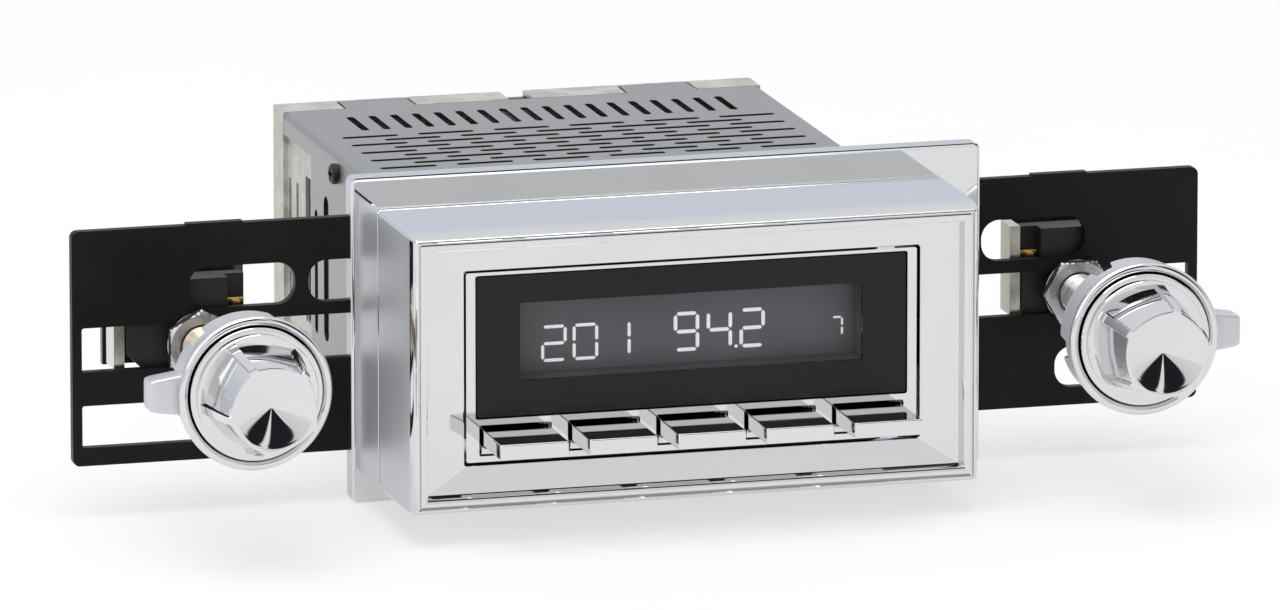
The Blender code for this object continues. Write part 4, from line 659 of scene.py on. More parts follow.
class RADIO_OT_faceplate(bpy.types.Operator):
    """Build the chrome faceplate with its display opening and five key openings."""
    bl_idname = "radio.faceplate"
    bl_label = "Faceplate"

    def execute(self, context):
        s, k = context.scene.radio_face, context.scene.radio_keys
        gap = 0.0003
        outlines = [slot_outline(-s.half_width, s.half_width, s.low, s.high, 0.0005),
                    slot_outline(-s.lens_half - gap, s.lens_half + gap, s.lens_low - gap, s.lens_high + gap,
                                 0.0005)]
        for place in (np.arange(5) - 2) * k.pitch:
            half = k.width / 2 + KEY_CLEARANCE
            outlines.append(slot_outline(place - half, place + half, *KEY_OPENING, 0.0004))
        mesh = sheet_mesh("faceplate_surface", outlines, s.thickness)
        flat = read_points(mesh)
        middle = s.thickness / 2 - s.reach
        write_points(mesh, np.stack([flat[:, 0], middle + FLANGE_Y - flat[:, 2], flat[:, 1]], axis=-1))
        piece = finish_object("faceplate_surface", mesh, "chassis", finish("chrome"),
                              ["faceplate"])
        break_edges(piece, 0.00015)
        return {"FINISHED"}


# Bars of a digit, named a to g: top, two at the right, bottom, two at the left, middle.
SEGMENTS = {"0": "abcdef", "1": "bc", "2": "abged", "3": "abgcd", "4": "fgbc", "5": "afgcd",
            "6": "afgedc", "7": "abc", "8": "abcdefg", "9": "abcdfg"}


def bar_part(start, end, stroke, reach, thickness):
    """A flat six-sided bar: its middle line runs from start to end, its long sides lie half a stroke to
    each side, and its ends come to a point."""
    start, end = np.asarray(start, float), np.asarray(end, float)
    along = (end - start) / np.linalg.norm(end - start)
    across = np.array([-along[1], along[0]])
    half = stroke / 2
    outline = np.array([start, start + half * (along + across), end + half * (across - along), end,
                        end - half * (along + across), start + half * (along - across)])
    loops = np.stack([np.stack([outline[:, 0], np.full(6, depth), outline[:, 1]], axis=-1)
                      for depth in (-reach, -reach - thickness)])
    return loops, loft_faces(2, 6, False)


def digit_parts(digit, left, low, width, height, stroke, reach):
    """The bars of a seven-segment digit."""
    middle = low + height / 2
    right, high = left + width, low + height
    gap = stroke * 0.28
    places = {"a": ((left, high), (right, high)), "g": ((left, middle), (right, middle)),
              "d": ((left, low), (right, low)), "f": ((left, middle), (left, high)),
              "e": ((left, low), (left, middle)), "b": ((right, middle), (right, high)),
              "c": ((right, low), (right, middle))}
    parts = []
    for segment in SEGMENTS[digit]:
        start, end = (np.array(p) for p in places[segment])
        along = (end - start) / np.linalg.norm(end - start)
        parts.append(bar_part(start + along * gap, end - along * gap, stroke, reach, 0.00005))
    return parts


# The small digits: figure, left, bottom, width, height, and weight of the stroke. Then the readout's left,
# bottom, width, height and advance.
SMALL_DIGITS = (("2", -0.0279, 0.0329, 0.0045, 0.0066, 1.0), ("0", -0.0216, 0.0329, 0.0045, 0.0066, 1.0),
                ("1", -0.0151, 0.0331, 0.0045, 0.0066, 1.0), ("7", 0.0302, 0.0344, 0.0020, 0.0036, 0.7))
READOUT_PLACE = (-0.0013, 0.0334, 0.0044, 0.0071, 0.0066)


class RADIO_OT_display(bpy.types.Operator):
    """Build the lens with its dark border, the clear pane and the lit digits."""
    bl_idname = "radio.display"
    bl_label = "Display"

    def execute(self, context):
        s = context.scene.radio_face
        thickness = 0.0011
        front = s.reach - 0.00025
        mesh = sheet_mesh("lens_border", [
            slot_outline(-s.lens_half, s.lens_half, s.lens_low, s.lens_high, 0.0004),
            slot_outline(-s.window_half, s.window_half, s.window_low, s.window_high, 0.0003)], thickness)
        flat = read_points(mesh)
        middle = thickness / 2 - front
        write_points(mesh, np.stack([flat[:, 0], middle + FLANGE_Y - flat[:, 2], flat[:, 1]], axis=-1))
        finish_object("lens_border", mesh, "chassis", finish("lens"), ["display_lens"])
        edge = 0.00002
        pane = rectangle_loops(edge - s.window_half, s.window_half - edge, s.window_low + edge,
                               s.window_high - edge, 0.00028, [0.00002 - front, thickness - front - 0.0002])
        finish_piece("lens_pane", [(pane, loft_faces(2, pane.shape[1], False))], "chassis",
                     finish("pane"))
        parts = []
        for digit, left, low, width, height, weight in SMALL_DIGITS:
            parts += digit_parts(digit, left, low, width, height, s.digit_stroke * weight, s.digit_reach)
        left, low, width, height, advance = READOUT_PLACE
        for mark in s.readout:
            if mark == ".":
                parts.append(bar_part((left - 0.00145, low + 0.00005), (left - 0.0006, low + 0.00005),
                                      0.0007, s.digit_reach, 0.00005))
                continue
            parts += digit_parts(mark, left, low, width, height, s.digit_stroke * 1.15, s.digit_reach)
            left += advance
        finish_piece("display_digits", parts, "chassis", finish("digits"))
        return {"FINISHED"}


# Heights of a key's front, root and stem, and how far its flange stands out.
KEY_FRONT = (0.0187, 0.02184)
KEY_REAR = (0.0169, 0.0221)
KEY_STEM = (0.0180, 0.0210)
KEY_STEM_HALF = 0.0020
KEY_FLANGE = 0.0008
KEY_TAIL_DEPTHS = (-0.0319, -0.0319, -0.0309, -0.0309, -0.02915)


class RADIO_OT_keys(bpy.types.Operator):
    """Build the five piano keys, each with its hollow curve, retaining flange and stem."""
    bl_idname = "radio.keys"
    bl_label = "Keys"

    def execute(self, context):
        k = context.scene.radio_keys
        e = k.edge
        angle = np.linspace(0.0, QUARTER, 4)
        nose_in = e * (1 - np.sin(angle))
        nose_y = -k.reach + e * (1 - np.cos(angle))
        curve = np.linspace(0.0, 1.0, 9)
        root = -context.scene.radio_face.reach - k.fillet
        hollow = 1 - np.sqrt(np.maximum(1 - curve ** 2, 0.0))
        front, rear, lip = KEY_FRONT, KEY_REAR, KEY_FLANGE
        half = k.width / 2
        width = np.concatenate([half - nose_in, np.full(9, half),
                                [half, half + lip, half + lip, KEY_STEM_HALF, KEY_STEM_HALF]])
        depth = np.concatenate([nose_y, root + curve * k.fillet, KEY_TAIL_DEPTHS])
        low = np.concatenate([front[0] + nose_in, front[0] + (rear[0] - front[0]) * hollow,
                              [rear[0], rear[0] - lip, rear[0] - lip, KEY_STEM[0], KEY_STEM[0]]])
        high = np.concatenate([front[1] - nose_in, front[1] + (rear[1] - front[1]) * hollow,
                               [rear[1], rear[1] + lip, rear[1] + lip, KEY_STEM[1], KEY_STEM[1]]])
        for number, node in enumerate(KEY_NODES):
            place = (number - 2) * k.pitch
            loops = rectangle_loops(place - width, place + width, low, high, e, depth, steps=4)
            finish_piece(node + "_surface", [(loops, loft_faces(len(loops), loops.shape[1], False))], node,
                         finish("chrome"), [node], sharp=40.0, weighted=True)
        return {"FINISHED"}


# ---------------------------------------------------------------- chassis

def cover_outline(s, flat_skirt, flat_lip):
    """Half of the cover's flat pattern, then its mirror image: front edge, skirt, rear lip and tabs."""
    skirt_rear = 0.0665
    reach, width, tabs = 0.0070, 0.0144, (0.02890, -0.02935)
    points = [(flat_skirt, s.front), (flat_skirt, skirt_rear), (flat_lip, skirt_rear + 0.0002),
              (flat_lip, s.rear)]
    for place in tabs:
        points += [(place + width / 2, s.rear), (place + width / 2 - 0.0004, s.rear + reach),
                   (place - width / 2 + 0.0004, s.rear + reach), (place - width / 2, s.rear)]
    return points + [(-flat_lip, s.rear), (-flat_lip, skirt_rear + 0.0002), (-flat_skirt, skirt_rear),
                     (-flat_skirt, s.front)]


LONG_VENT_WIDTH = 0.0016
LONG_VENT_PITCH = 0.00447
LONG_VENT_DEPTHS = (0.0673, 0.0807)
CROSS_VENT_WIDTH = 0.0017
CROSS_VENT_LENGTH = 0.0115
CROSS_VENT_REAR = 0.0613
CROSS_VENT_ROW_PITCH = 0.00375
CROSS_VENT_PITCH = 0.0155
SIDE_VENTS = ((0.0547, 0.0039, 0.0493), (0.0627, 0.0024, 0.0450))
SIDE_VENT_LOW = 0.0200
LIP_LOW = 0.05504


class RADIO_OT_cover(bpy.types.Operator):
    """Build the vented cover: one flat pattern with round-ended vents, folded down at both sides."""
    bl_idname = "radio.cover"
    bl_label = "Cover"

    def execute(self, context):
        s = context.scene.radio_cover
        middle = s.high - s.sheet / 2
        bend_start = s.half_width - s.sheet / 2 - s.bend
        arc = s.bend * QUARTER
        straight = bend_start + arc
        skirt = straight + (middle - s.bend) - s.low
        lip = straight + (middle - s.bend) - LIP_LOW
        outlines = [cover_outline(s, skirt, lip)]
        half = LONG_VENT_WIDTH / 2
        for place in (np.arange(18) - 8.5) * LONG_VENT_PITCH:
            outlines.append(slot_outline(place - half, place + half, *LONG_VENT_DEPTHS, half - 1e-5, steps=6))
        half, reach = CROSS_VENT_WIDTH / 2, CROSS_VENT_LENGTH / 2
        for row in range(9):
            depth = CROSS_VENT_REAR - row * CROSS_VENT_ROW_PITCH
            count = 6 if row % 2 == 0 else 5
            for place in (np.arange(count) - (count - 1) / 2) * CROSS_VENT_PITCH:
                outlines.append(slot_outline(place - reach, place + reach, depth - half, depth + half,
                                             half - 1e-5, steps=5))
        for depth, width, top in SIDE_VENTS:
            for side in (-1, 1):
                near = straight + (middle - s.bend) - top
                far = straight + (middle - s.bend) - SIDE_VENT_LOW
                edges = sorted((side * near, side * far))
                outlines.append(slot_outline(edges[0], edges[1], depth - width / 2, depth + width / 2,
                                             width / 2 - 1e-5, steps=6))
        mesh = sheet_mesh("cover_sheet", outlines, s.sheet)
        rows = bend_start + np.linspace(0.0, arc, 9)
        cut_across(mesh, np.concatenate([rows, -rows]).tolist())
        flat = read_points(mesh)
        across, down = fold(np.abs(flat[:, 0]), flat[:, 2], bend_start, s.bend)
        write_points(mesh, np.stack([np.sign(flat[:, 0]) * across, flat[:, 1] + FLANGE_Y, middle - down],
                                    axis=-1))
        piece = finish_object("cover_sheet", mesh, "chassis", finish("cover"), ["top_cover"],
                              weighted=True)
        # The cut walls of the top and side vents take the black plastic finish: painted shade inside the
        # vents.
        paint_shade_on_faces(piece, "plastic", lambda middles, normals:
                     (middles[:, 1] > 0.0285) & (middles[:, 1] < 0.0815) &
                     np.where(middles[:, 2] > 0.0585, np.abs(normals[:, 2]) < 0.3,
                              (np.abs(normals[:, 0]) < 0.3) & (middles[:, 2] > 0.0195) &
                              (middles[:, 2] < 0.0500)))
        return {"FINISHED"}


PLATE_CORNER = 0.0014
RISE = 0.00035
RISE_SPAN = (0.0798, 0.0910)
LEAF_SPAN = (0.0200, 0.0470)
LEAF_LENGTH = 0.0160
# Each slot: its inner and outer end, bottom and top, and the corner radius at its inner and outer end.
PLATE_SLOTS = ((0.0694, 0.0907, 0.0403, 0.0486, 0.00365, 0.00365),
               (0.0555, 0.0668, 0.0403, 0.0486, 0.00365, 0.00365),
               (0.0560, 0.1120, 0.0291, 0.0378, 0.0005, 0.0005),
               (0.0846, 0.1120, 0.0141, 0.0224, 0.00365, 0.0005))


class RADIO_OT_plates(bpy.types.Operator):
    """Build the two slotted plates: a flat pattern with rounded slots, folded back at the chassis."""
    bl_idname = "radio.plates"
    bl_label = "Slotted plates"

    def execute(self, context):
        s = context.scene.radio_plates
        middle = s.front + s.sheet / 2
        fold_at = 0.0508 + s.bend
        bend_start = s.outer - fold_at
        leaf_end = bend_start + s.bend * QUARTER + LEAF_LENGTH - middle - s.bend
        neck = bend_start - 0.0006
        edge = slot_outline(0.0, neck, s.low, s.high, PLATE_CORNER, 0.0004)
        for name, side in SIDES.items():
            out = s.outer
            near, far = out - RISE_SPAN[0], out - RISE_SPAN[1]
            rise = [(far, s.high), (far, s.high + RISE), (near, s.high + RISE), (near, s.high)]
            steps = 9
            right_top, left_top = edge[:steps], edge[steps:2 * steps]
            left_low, right_low = edge[2 * steps:3 * steps], edge[3 * steps:]
            leaf = [(neck, LEAF_SPAN[0]), (leaf_end, LEAF_SPAN[0]), (leaf_end, LEAF_SPAN[1]),
                    (neck, LEAF_SPAN[1])]
            outline = np.concatenate([right_top, np.array(rise[::-1]), left_top, left_low, right_low, leaf])
            outlines = [outline]
            for near, far, low, high, inner, outer in PLATE_SLOTS:
                outlines.append(slot_outline(out - far, out - near, low, high, outer, inner))
            for height in (0.0260, 0.0410):
                hole = bend_start + s.bend * QUARTER + 0.0110 - middle - s.bend
                outlines.append(slot_outline(hole - 0.0013, hole + 0.0013, height - 0.0013, height + 0.0013,
                                             0.00129))
            mesh = sheet_mesh(name + "_plate_sheet", outlines, s.sheet)
            rows = bend_start + np.linspace(0.0, s.bend * QUARTER, 7)
            cut_across(mesh, rows.tolist())
            flat = read_points(mesh)
            across, back = fold(flat[:, 0], flat[:, 2], bend_start, s.bend)
            write_points(mesh, np.stack([side * (out - across), middle + back + FLANGE_Y, flat[:, 1]],
                                        axis=-1))
            piece = finish_object(name + "_plate_sheet", mesh, "chassis", finish("plate"),
                                  [name + "_mounting_plate"])
            break_edges(piece, 0.00022)
        return {"FINISHED"}


class RADIO_OT_kept_nodes(bpy.types.Operator):
    """Give the chassis, sockets, boards, housings and shafts their worked finishes."""
    bl_idname = "radio.kept_nodes"
    bl_label = "Chassis and housings"

    def execute(self, context):
        for node, name in NODE_FINISHES.items():
            dress_node(node, name)
        for side in SIDES:
            for node, name in SIDE_FINISHES.items():
                dress_node("%s_%s" % (side, node), name)
        return {"FINISHED"}


# ---------------------------------------------------------------- shaft controls

def flats(angle, count, turn, apothem, ridge):
    """A polygon's radius with cut corners: the apothem over the cosine of the angle from the nearest flat's
    middle, never more than the ridge's radius."""
    step = 2 * math.pi / count
    off = np.mod(angle - turn + step / 2, step) - step / 2
    return np.minimum(apothem / np.cos(off), ridge)


def cheeks(angle, count, turn, middle, ridge):
    """A knob's radius: between the ridges it is the middle radius, times one plus a third of the growth
    that a flat side would have. Within 4.4 degrees of a ridge's centre it is the ridge's own radius, and
    a smooth step of 1.4 degrees joins the two."""
    step = 2 * math.pi / count
    off = np.mod(angle - turn + step / 2, step) - step / 2
    cheek = middle * (1 + 0.34 * (1 / np.cos(off) - 1))
    share = np.clip((np.abs(off) - (step / 2 - math.radians(5.8))) / math.radians(1.4), 0.0, 1.0)
    share = share * share * (3 - 2 * share)
    return cheek + (np.maximum(ridge, cheek) - cheek) * share


# Radius and depth of each corner of the washer's ring, of the nut's outer limit and of its bore.
WASHER_SECTION = np.array([(0.0042, 0.00085), (0.0042, 0.00045), (0.0043, 0.0004), (0.0062, 0.0004),
                           (0.0064, 0.0005), (0.0064, 0.0008), (0.0062, 0.0009), (0.0043, 0.0009)])
NUT_SECTION = np.array([(0.0060, -0.0022), (0.00635, -0.00216), (0.00665, -0.0020), (0.0070, -0.0018),
                        (0.0075, -0.0015), (0.0075, -0.0006), (0.0070, -0.0003), (0.00665, -0.0001),
                        (0.00635, 0.0001)])
NUT_BORE = np.array([(0.0044, 0.0001), (0.00415, -0.0001), (0.00415, -0.0018), (0.0046, -0.0022)])
NUT_APOTHEM = 0.00635
THREAD_RADIUS = 0.0041
THREAD_ENDS = (0.0032, -0.0357)


class RADIO_OT_fasteners(bpy.types.Operator):
    """Build the threaded bushings, the washers and the chamfered hexagon nuts."""
    bl_idname = "radio.fasteners"
    bl_label = "Bushings, washers and nuts"

    def execute(self, context):
        s = context.scene.radio_knobs
        count = 72
        angle = np.linspace(0.0, 2 * math.pi, count, endpoint=False)[None, :]
        for name, side in SIDES.items():
            centre = (side * s.place, s.height)
            body = name + "_controller"
            depth = np.arange(0.0032, -0.0354, -s.thread_pitch / 9)[:, None]
            turn = np.mod(depth / s.thread_pitch + angle / (2 * math.pi), 1.0)
            crest = np.clip(np.abs(turn * 2 - 1) * 1.5 - 0.2, 0.0, 1.0)
            ends = np.clip(np.minimum(THREAD_ENDS[0] - depth, depth - THREAD_ENDS[1]) / 0.0010, 0.0, 1.0)
            radius = THREAD_RADIUS - s.thread_depth * (1 - crest * ends)
            radii = np.concatenate([np.full((1, count), 0.00308), radius, np.full((1, count), 0.0034),
                                    np.full((1, count), 0.00308)])
            depths = np.concatenate([[THREAD_ENDS[:1]], [depth.ravel()], [THREAD_ENDS[1:] * 2]], axis=1).T
            loops = polar_loops(radii, np.broadcast_to(depths, radii.shape), centre, count)
            finish_piece(name + "_thread", [(loops, loft_faces(len(loops), count, True))], body,
                         finish("brass" if name == "left" else "steel"), [name + "_bushing"], sharp=50.0)
            loops = polar_loops(WASHER_SECTION[:, 0], WASHER_SECTION[:, 1], centre, 128)
            finish_piece(name + "_washer_ring", [(loops, loft_faces(len(loops), 128, True))], body,
                         finish("zinc"), [name + "_washer"])
            count_nut = 240
            nut_angle = np.linspace(0.0, 2 * math.pi, count_nut, endpoint=False)
            turn = math.radians(0.0 if side < 0 else 30.0)
            radii = np.stack([flats(nut_angle, 6, turn, NUT_APOTHEM, limit) for limit in NUT_SECTION[:, 0]])
            radii = np.concatenate([radii, NUT_BORE[:, :1] * np.ones((1, count_nut))])
            depths = np.concatenate([NUT_SECTION[:, 1], NUT_BORE[:, 1]])
            loops = polar_loops(radii, np.broadcast_to(depths[:, None], radii.shape), centre, count_nut)
            finish_piece(name + "_nut", [(loops, loft_faces(len(loops), count_nut, True))], body,
                         finish("zinc"), [name + "_hex_nut"], sharp=18.0)
        return {"FINISHED"}


class RADIO_OT_rear_knobs(bpy.types.Operator):
    """Build the rear knobs: beaded ring, notched skirt, web, hub and finger tab."""
    bl_idname = "radio.rear_knobs"
    bl_label = "Rear knobs"

    def execute(self, context):
        s = context.scene.radio_knobs
        count = 360
        angle = np.linspace(0.0, 2 * math.pi, count, endpoint=False)
        bead = 0.00095
        arc = np.linspace(math.pi, 0.0, 13)
        middle = (0.0151 - bead, 0.04455 - bead)
        for name, side in SIDES.items():
            centre = (side * s.place, s.height)
            first = math.radians(63.0 if side < 0 else 117.0)
            step = 2 * math.pi / 5
            off = np.mod(angle - first + step / 2, step) - step / 2
            reach = np.abs(off) * 0.0145
            blend = np.clip((0.0021 - reach) / 0.00022, 0.0, 1.0)
            back = 0.0360 + 0.0034 * blend
            radii = np.concatenate([[0.0034, 0.0129, 0.0131], middle[0] + bead * np.cos(arc),
                                    [0.0149, 0.01455, 0.0145, 0.0145, 0.0144, 0.0130, 0.0129, 0.0129, 0.0056,
                                     0.0055, 0.0055, 0.0054, 0.0034, 0.0033, 0.0033]])
            reaches = np.concatenate([[0.0424, 0.0424, 0.0427], middle[1] + bead * np.sin(arc),
                                      [0.0428, 0.0425, 0.0420, 0.0001, 0.0, 0.0, 0.0001, 0.0410, 0.0410,
                                       0.0409, 0.0361, 0.0360, 0.0360, 0.0361, 0.0423]])
            grid = np.broadcast_to(reaches[:, None], (len(reaches), count)).copy()
            low = reaches < 0.01
            grid[low] = back[None, :] + reaches[low][:, None]
            loops = polar_loops(radii, -grid, centre, count)
            parts = [(loops, loft_faces(len(loops), count, True))]
            parts.append(self.tab(side, centre))
            piece = finish_piece(name + "_rear_knob_surface", parts, name + "_ring",
                                 finish("chrome"), [name + "_rear_knob"], sharp=38.0)
            # The ring's outer side and the skirt take the darker chrome copy: painted shade there.
            paint_shade_on_faces(piece, "shaded_side_chrome", lambda middles, normals:
                         (middles[:, 1] > -0.0429) & (np.hypot(middles[:, 0] - centre[0],
                                                               middles[:, 2] - centre[1]) > 0.0143))
        return {"FINISHED"}

    def tab(self, side, centre):
        """The finger tab: rectangles along the radius, narrower towards the tip, with rounded edges."""
        along = np.array([0.0137, 0.0190, 0.0198, 0.02015, 0.0203])
        inset = np.array([0.0, 0.0, 0.00006, 0.0002, 0.0005])
        half = np.interp(along, [0.0137, 0.0203], [0.0040, 0.0030]) - inset
        loops = rectangle_loops(-half, half, 0.0366 + inset, 0.0420 - inset, 0.0006, along)
        points = np.stack([centre[0] + side * loops[..., 1], -loops[..., 2], centre[1] + loops[..., 0]],
                          axis=-1)
        return points, loft_faces(len(along), loops.shape[1], False)


# Radius between the ridges and on them, where the knob's body starts and at its face.
KNOB_BASE = np.array([0.0099, 0.0114])
KNOB_FACE = np.array([0.0083, 0.0093])


class RADIO_OT_front_knobs(bpy.types.Operator):
    """Build the front knobs: base, shoulder, tapering flats between ridges, and a dished face."""
    bl_idname = "radio.front_knobs"
    bl_label = "Front knobs"

    def execute(self, context):
        s = context.scene.radio_knobs
        count = 720
        angle = np.linspace(0.0, 2 * math.pi, count, endpoint=False)
        low, high = 0.0460, s.reach
        share = np.linspace(0.0, 1.0, 14)
        for name, side in SIDES.items():
            centre = (side * s.place, s.height)
            turn = math.radians((46.0 if side < 0 else 5.0) + 180.0 / s.facets)
            body = [cheeks(angle, s.facets, turn, *(KNOB_BASE + (KNOB_FACE - KNOB_BASE) * t)) for t in share]
            rim = cheeks(angle, s.facets, turn, *KNOB_FACE)
            ring = np.ones(count)
            dish = np.linspace(1.0, 0.0, 26)[:, None]
            rows = [0.0018 * ring, 0.0126 * ring, 0.0130 * ring, 0.0130 * ring, 0.01285 * ring, 0.0124 * ring,
                    0.0119 * ring, 0.0119 * ring, 0.01175 * ring, 0.0116 * ring]
            row_reach = [0.0432, 0.0432, 0.0434, 0.0447, 0.0449, 0.0450, 0.0450, 0.0458, 0.04598, 0.0460]
            rows += body
            row_reach += list(low + (high - 0.0003 - low) * share)
            rows += [rim - 0.00008, rim - 0.0003, np.minimum(rim - 0.0005, 0.0077)]
            row_reach += [high - 0.00008, high, high]
            rows += list(0.0074 * dish * ring[None, :])
            row_reach += list((high - 0.00012 - (s.dish - 0.00012) * (1 - dish[:, 0]) ** 1.08).ravel())
            loops = polar_loops(np.stack(rows), -np.array(row_reach), centre, count)
            bore_reach = 0.0517
            start = polar_loops(np.array([0.0, 0.0018]), -np.array([bore_reach, bore_reach]), centre, count)
            loops = np.concatenate([start, loops])
            finish_piece(name + "_front_knob_surface", [(loops, loft_faces(len(loops), count, False)[:-2])],
                         name + "_knob", finish("chrome"), [name + "_front_knob"], sharp=24.0)
        return {"FINISHED"}


# ---------------------------------------------------------------- stage

def add_lamp(name, place, target, size, strength):
    """A soft square lamp that faces its target."""
    lamp = bpy.data.lights.new(name, "AREA")
    lamp.shape = "SQUARE"
    lamp.size = size
    lamp.energy = strength
    item = bpy.data.objects.new(name, lamp)
    bpy.context.scene.collection.objects.link(item)
    item.location = place
    item.rotation_euler = (Vector(target) - Vector(place)).to_track_quat("-Z", "Y").to_euler()
    return item


def studio_world():
    """White to the camera, even pale light for matt surfaces, and a studio for what bright metal mirrors:
    a pale room whose upright dark screens stand in front, with a bright gap between them, and a cool
    grey low behind. A direction's turn round the upright picks the screen, and its height the band."""
    world = bpy.data.worlds.new("studio")
    world.use_nodes = True
    bpy.context.scene.world = world
    nodes, links = world.node_tree.nodes, world.node_tree.links
    nodes.clear()
    place = nodes.new("ShaderNodeTexCoord")
    split = nodes.new("ShaderNodeSeparateXYZ")
    links.new(place.outputs["Generated"], split.inputs["Vector"])

    def spread(value, low, high):
        node = nodes.new("ShaderNodeMapRange")
        node.inputs["From Min"].default_value = low
        node.inputs["From Max"].default_value = high
        links.new(value, node.inputs["Value"])
        return node.outputs["Result"]

    def blend(share, first, second):
        node = nodes.new("ShaderNodeMix")
        node.data_type = "RGBA"
        links.new(share, node.inputs["Factor"])
        links.new(first, node.inputs["A"])
        links.new(second, node.inputs["B"])
        return node.outputs["Result"]

    def ramp(value, stops):
        node = nodes.new("ShaderNodeValToRGB")
        set_ramp(node, stops)
        links.new(value, node.inputs["Fac"])
        return node.outputs["Color"]

    def grey(value, blue=0.0):
        return (value, value + blue / 3, value + blue)

    height = spread(split.outputs["Z"], -1.0, 1.0)
    forward = nodes.new("ShaderNodeMath")
    forward.operation = "MULTIPLY"
    forward.inputs[1].default_value = -1.0
    links.new(split.outputs["Y"], forward.inputs[0])
    turn = nodes.new("ShaderNodeMath")
    turn.operation = "ARCTAN2"
    links.new(split.outputs["X"], turn.inputs[0])
    links.new(forward.outputs["Value"], turn.inputs[1])
    around = spread(turn.outputs["Value"], -math.pi, math.pi)
    pale, dark, bright = grey(0.82, 0.01), grey(0.015, 0.004), grey(0.97)
    screens = []
    for degrees, before, after in ((-23.0, pale, dark), (-21.0, dark, bright), (-12.0, bright, dark),
                                   (22.0, dark, bright), (28.5, bright, dark), (62.0, dark, pale)):
        screens += [((degrees - 0.5 + 180.0) / 360.0, before), ((degrees + 0.5 + 180.0) / 360.0, after)]
    front_plain = ramp(height, [(0.0, grey(0.90)), (0.5, grey(0.90)), (0.62, grey(0.80, 0.01)),
                                (0.85, grey(0.80, 0.01)), (0.93, grey(0.97))])
    right = ramp(around, [(0.5 + 24.0 / 360.0, grey(0.0)), (0.5 + 25.0 / 360.0, grey(1.0))])
    low_band = ramp(height, [(0.535, grey(0.0)), (0.560, grey(1.0)), (0.84, grey(1.0)), (0.90, grey(0.0))])
    high_band = ramp(height, [(0.634, grey(0.0)), (0.650, grey(1.0)), (0.84, grey(1.0)), (0.90, grey(0.0))])
    front = blend(blend(right, high_band, low_band), front_plain, ramp(around, screens))
    rear = ramp(height, [(0.0, grey(0.62, 0.05)), (0.5, grey(0.66, 0.09)), (0.62, grey(0.70, 0.12)),
                         (0.72, grey(0.84, 0.05)), (1.0, grey(0.96, 0.01))])
    mirrored = blend(spread(split.outputs["Y"], -0.15, 0.15), front, rear)
    paths = nodes.new("ShaderNodeLightPath")
    matt, glossy, white = [nodes.new("ShaderNodeBackground") for _ in range(3)]
    matt.inputs["Color"].default_value = (1.0, 1.0, 1.0, 1.0)
    matt.inputs["Strength"].default_value = 0.76
    white.inputs["Color"].default_value = (1.0, 1.0, 1.0, 1.0)
    links.new(mirrored, glossy.inputs["Color"])
    first, second = nodes.new("ShaderNodeMixShader"), nodes.new("ShaderNodeMixShader")
    links.new(paths.outputs["Is Glossy Ray"], first.inputs["Fac"])
    links.new(matt.outputs["Background"], first.inputs[1])
    links.new(glossy.outputs["Background"], first.inputs[2])
    links.new(paths.outputs["Is Camera Ray"], second.inputs["Fac"])
    links.new(first.outputs["Shader"], second.inputs[1])
    links.new(white.outputs["Background"], second.inputs[2])
    output = nodes.new("ShaderNodeOutputWorld")
    links.new(second.outputs["Shader"], output.inputs["Surface"])


def set_ramp(node, stops):
    """Put a list of places and colours on a colour ramp."""
    elements = node.color_ramp.elements
    while len(elements) < len(stops):
        elements.new(0.5)
    for element, (position, shade) in zip(elements, stops):
        element.position = position
    for element, (position, shade) in zip(elements, stops):
        element.color = (*shade, 1.0)


def paper_finish(name):
    """White paper that keeps a soft shadow: to the camera and in mirrors, part of its light is plain
    white."""
    material = grained_finish(name, (0.93, 0.93, 0.93), 0.0, 0.6, spread=0.004, gloss=0.03, scale=20.0,
                              fine=900.0, strength=0.02)
    nodes, links = material.node_tree.nodes, material.node_tree.links
    paths, glow = nodes.new("ShaderNodeLightPath"), nodes.new("ShaderNodeEmission")
    seen, share, mix = (nodes.new("ShaderNodeMath"), nodes.new("ShaderNodeMath"),
                        nodes.new("ShaderNodeMixShader"))
    seen.operation, share.operation = "MAXIMUM", "MULTIPLY"
    share.inputs[1].default_value = 0.55
    links.new(paths.outputs["Is Camera Ray"], seen.inputs[0])
    links.new(paths.outputs["Is Glossy Ray"], seen.inputs[1])
    links.new(seen.outputs["Value"], share.inputs[0])
    links.new(share.outputs["Value"], mix.inputs["Fac"])
    links.new(nodes["Principled BSDF"].outputs["BSDF"], mix.inputs[1])
    links.new(glow.outputs["Emission"], mix.inputs[2])
    links.new(mix.outputs["Shader"], nodes["Material Output"].inputs["Surface"])
    return material


class RADIO_OT_stage(bpy.types.Operator):
    """Set up the camera, the white floor, the soft lamps and the studio that the chrome mirrors."""
    bl_idname = "radio.stage"
    bl_label = "Stage"

    def execute(self, context):
        s = context.scene.radio_stage
        scene = context.scene
        scene.view_settings.view_transform = "Standard"
        looking = Vector((0.2622, 0.9405, -0.2163)).normalized()
        target = Vector((-0.00042, -0.0235, 0.03612))
        data = bpy.data.cameras.new("camera")
        data.lens = s.lens
        data.sensor_width = 36.0
        data.clip_end = 50.0
        camera = bpy.data.objects.new("camera", data)
        scene.collection.objects.link(camera)
        camera.location = target - looking * s.distance
        camera.rotation_euler = looking.to_track_quat("-Z", "Y").to_euler()
        scene.camera = camera
        corners = rectangle_loops(-3.0, 3.0, -3.0, 3.0, 0.5, 0.0)[0]
        mesh = bpy.data.meshes.new("floor")
        mesh.from_pydata([(x, z, -0.0002) for x, _, z in corners.tolist()], [], [list(range(len(corners)))])
        floor = bpy.data.objects.new("floor", mesh)
        scene.collection.objects.link(floor)
        mesh.materials.append(paper_finish("white paper"))
        studio_world()
        add_lamp("lamp_above", (-0.25, -0.35, 1.30), (0.0, 0.0, 0.03), 1.1, s.light)
        add_lamp("lamp_left", (-1.20, -0.90, 0.80), (0.0, 0.0, 0.03), 0.9, s.light * 0.35)
        return {"FINISHED"}


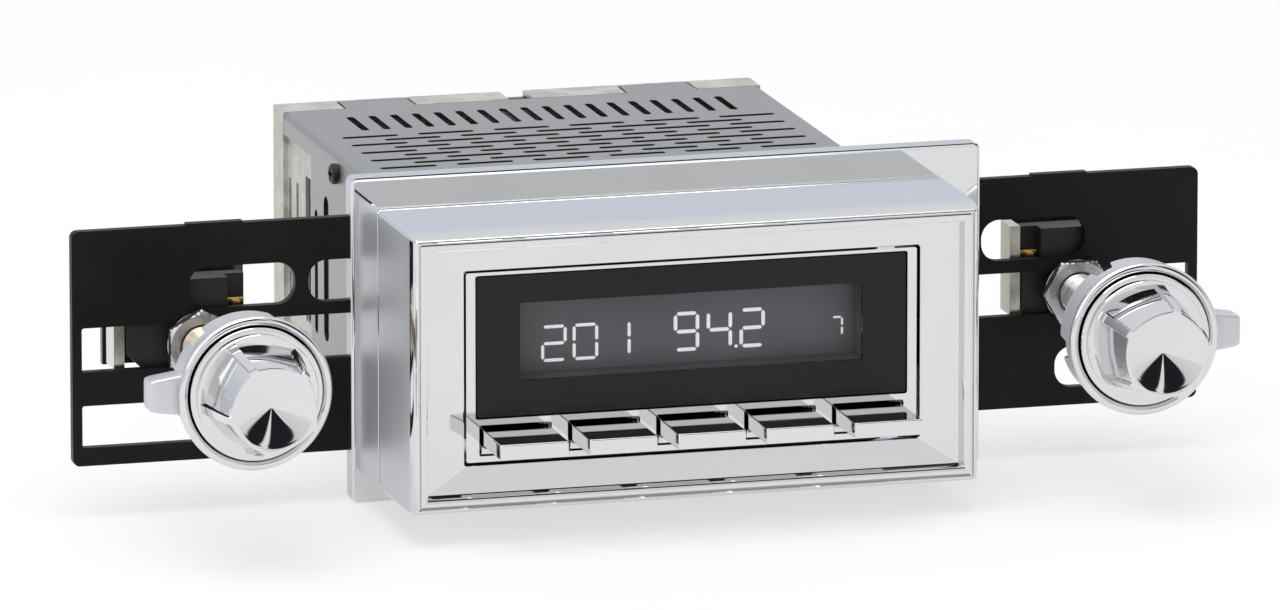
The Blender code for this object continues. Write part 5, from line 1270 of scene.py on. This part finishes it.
PIECE_OPERATORS = (RADIO_OT_stage, RADIO_OT_rear_trim, RADIO_OT_front_trim, RADIO_OT_faceplate,
                   RADIO_OT_display, RADIO_OT_keys, RADIO_OT_cover, RADIO_OT_plates, RADIO_OT_kept_nodes,
                   RADIO_OT_fasteners, RADIO_OT_rear_knobs, RADIO_OT_front_knobs)
SETTINGS = {"radio_trim": RadioTrimSizes, "radio_face": RadioFaceSizes, "radio_keys": RadioKeySizes,
            "radio_cover": RadioCoverSizes, "radio_plates": RadioPlateSizes, "radio_knobs": RadioKnobSizes,
            "radio_finishes": RadioFinishes, "radio_stage": RadioStageSettings}


class RADIO_PT_panel(bpy.types.Panel):
    """Lists the steps that build the radio's surfaces."""
    bl_idname = "RADIO_PT_panel"
    bl_label = "Car Radio"
    bl_space_type = "VIEW_3D"
    bl_region_type = "UI"
    bl_category = "Car Radio"

    def draw(self, context):
        column = self.layout.column(align=True)
        for operator in PIECE_OPERATORS:
            column.operator(operator.bl_idname)


def register():
    for settings in SETTINGS.values():
        bpy.utils.register_class(settings)
    for name, settings in SETTINGS.items():
        setattr(bpy.types.Scene, name, bpy.props.PointerProperty(type=settings))
    for operator in PIECE_OPERATORS:
        bpy.utils.register_class(operator)
    bpy.utils.register_class(RADIO_PT_panel)


def unregister():
    bpy.utils.unregister_class(RADIO_PT_panel)
    for operator in reversed(PIECE_OPERATORS):
        bpy.utils.unregister_class(operator)
    for name in SETTINGS:
        delattr(bpy.types.Scene, name)
    for settings in reversed(SETTINGS.values()):
        bpy.utils.unregister_class(settings)


def main():
    """Register the add-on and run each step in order."""
    register()
    bpy.ops.radio.stage()
    bpy.ops.radio.rear_trim()
    bpy.ops.radio.front_trim()
    bpy.ops.radio.faceplate()
    bpy.ops.radio.display()
    bpy.ops.radio.keys()
    bpy.ops.radio.cover()
    bpy.ops.radio.plates()
    bpy.ops.radio.kept_nodes()
    bpy.ops.radio.fasteners()
    bpy.ops.radio.rear_knobs()
    bpy.ops.radio.front_knobs()


if __name__ == "__main__":
    main()
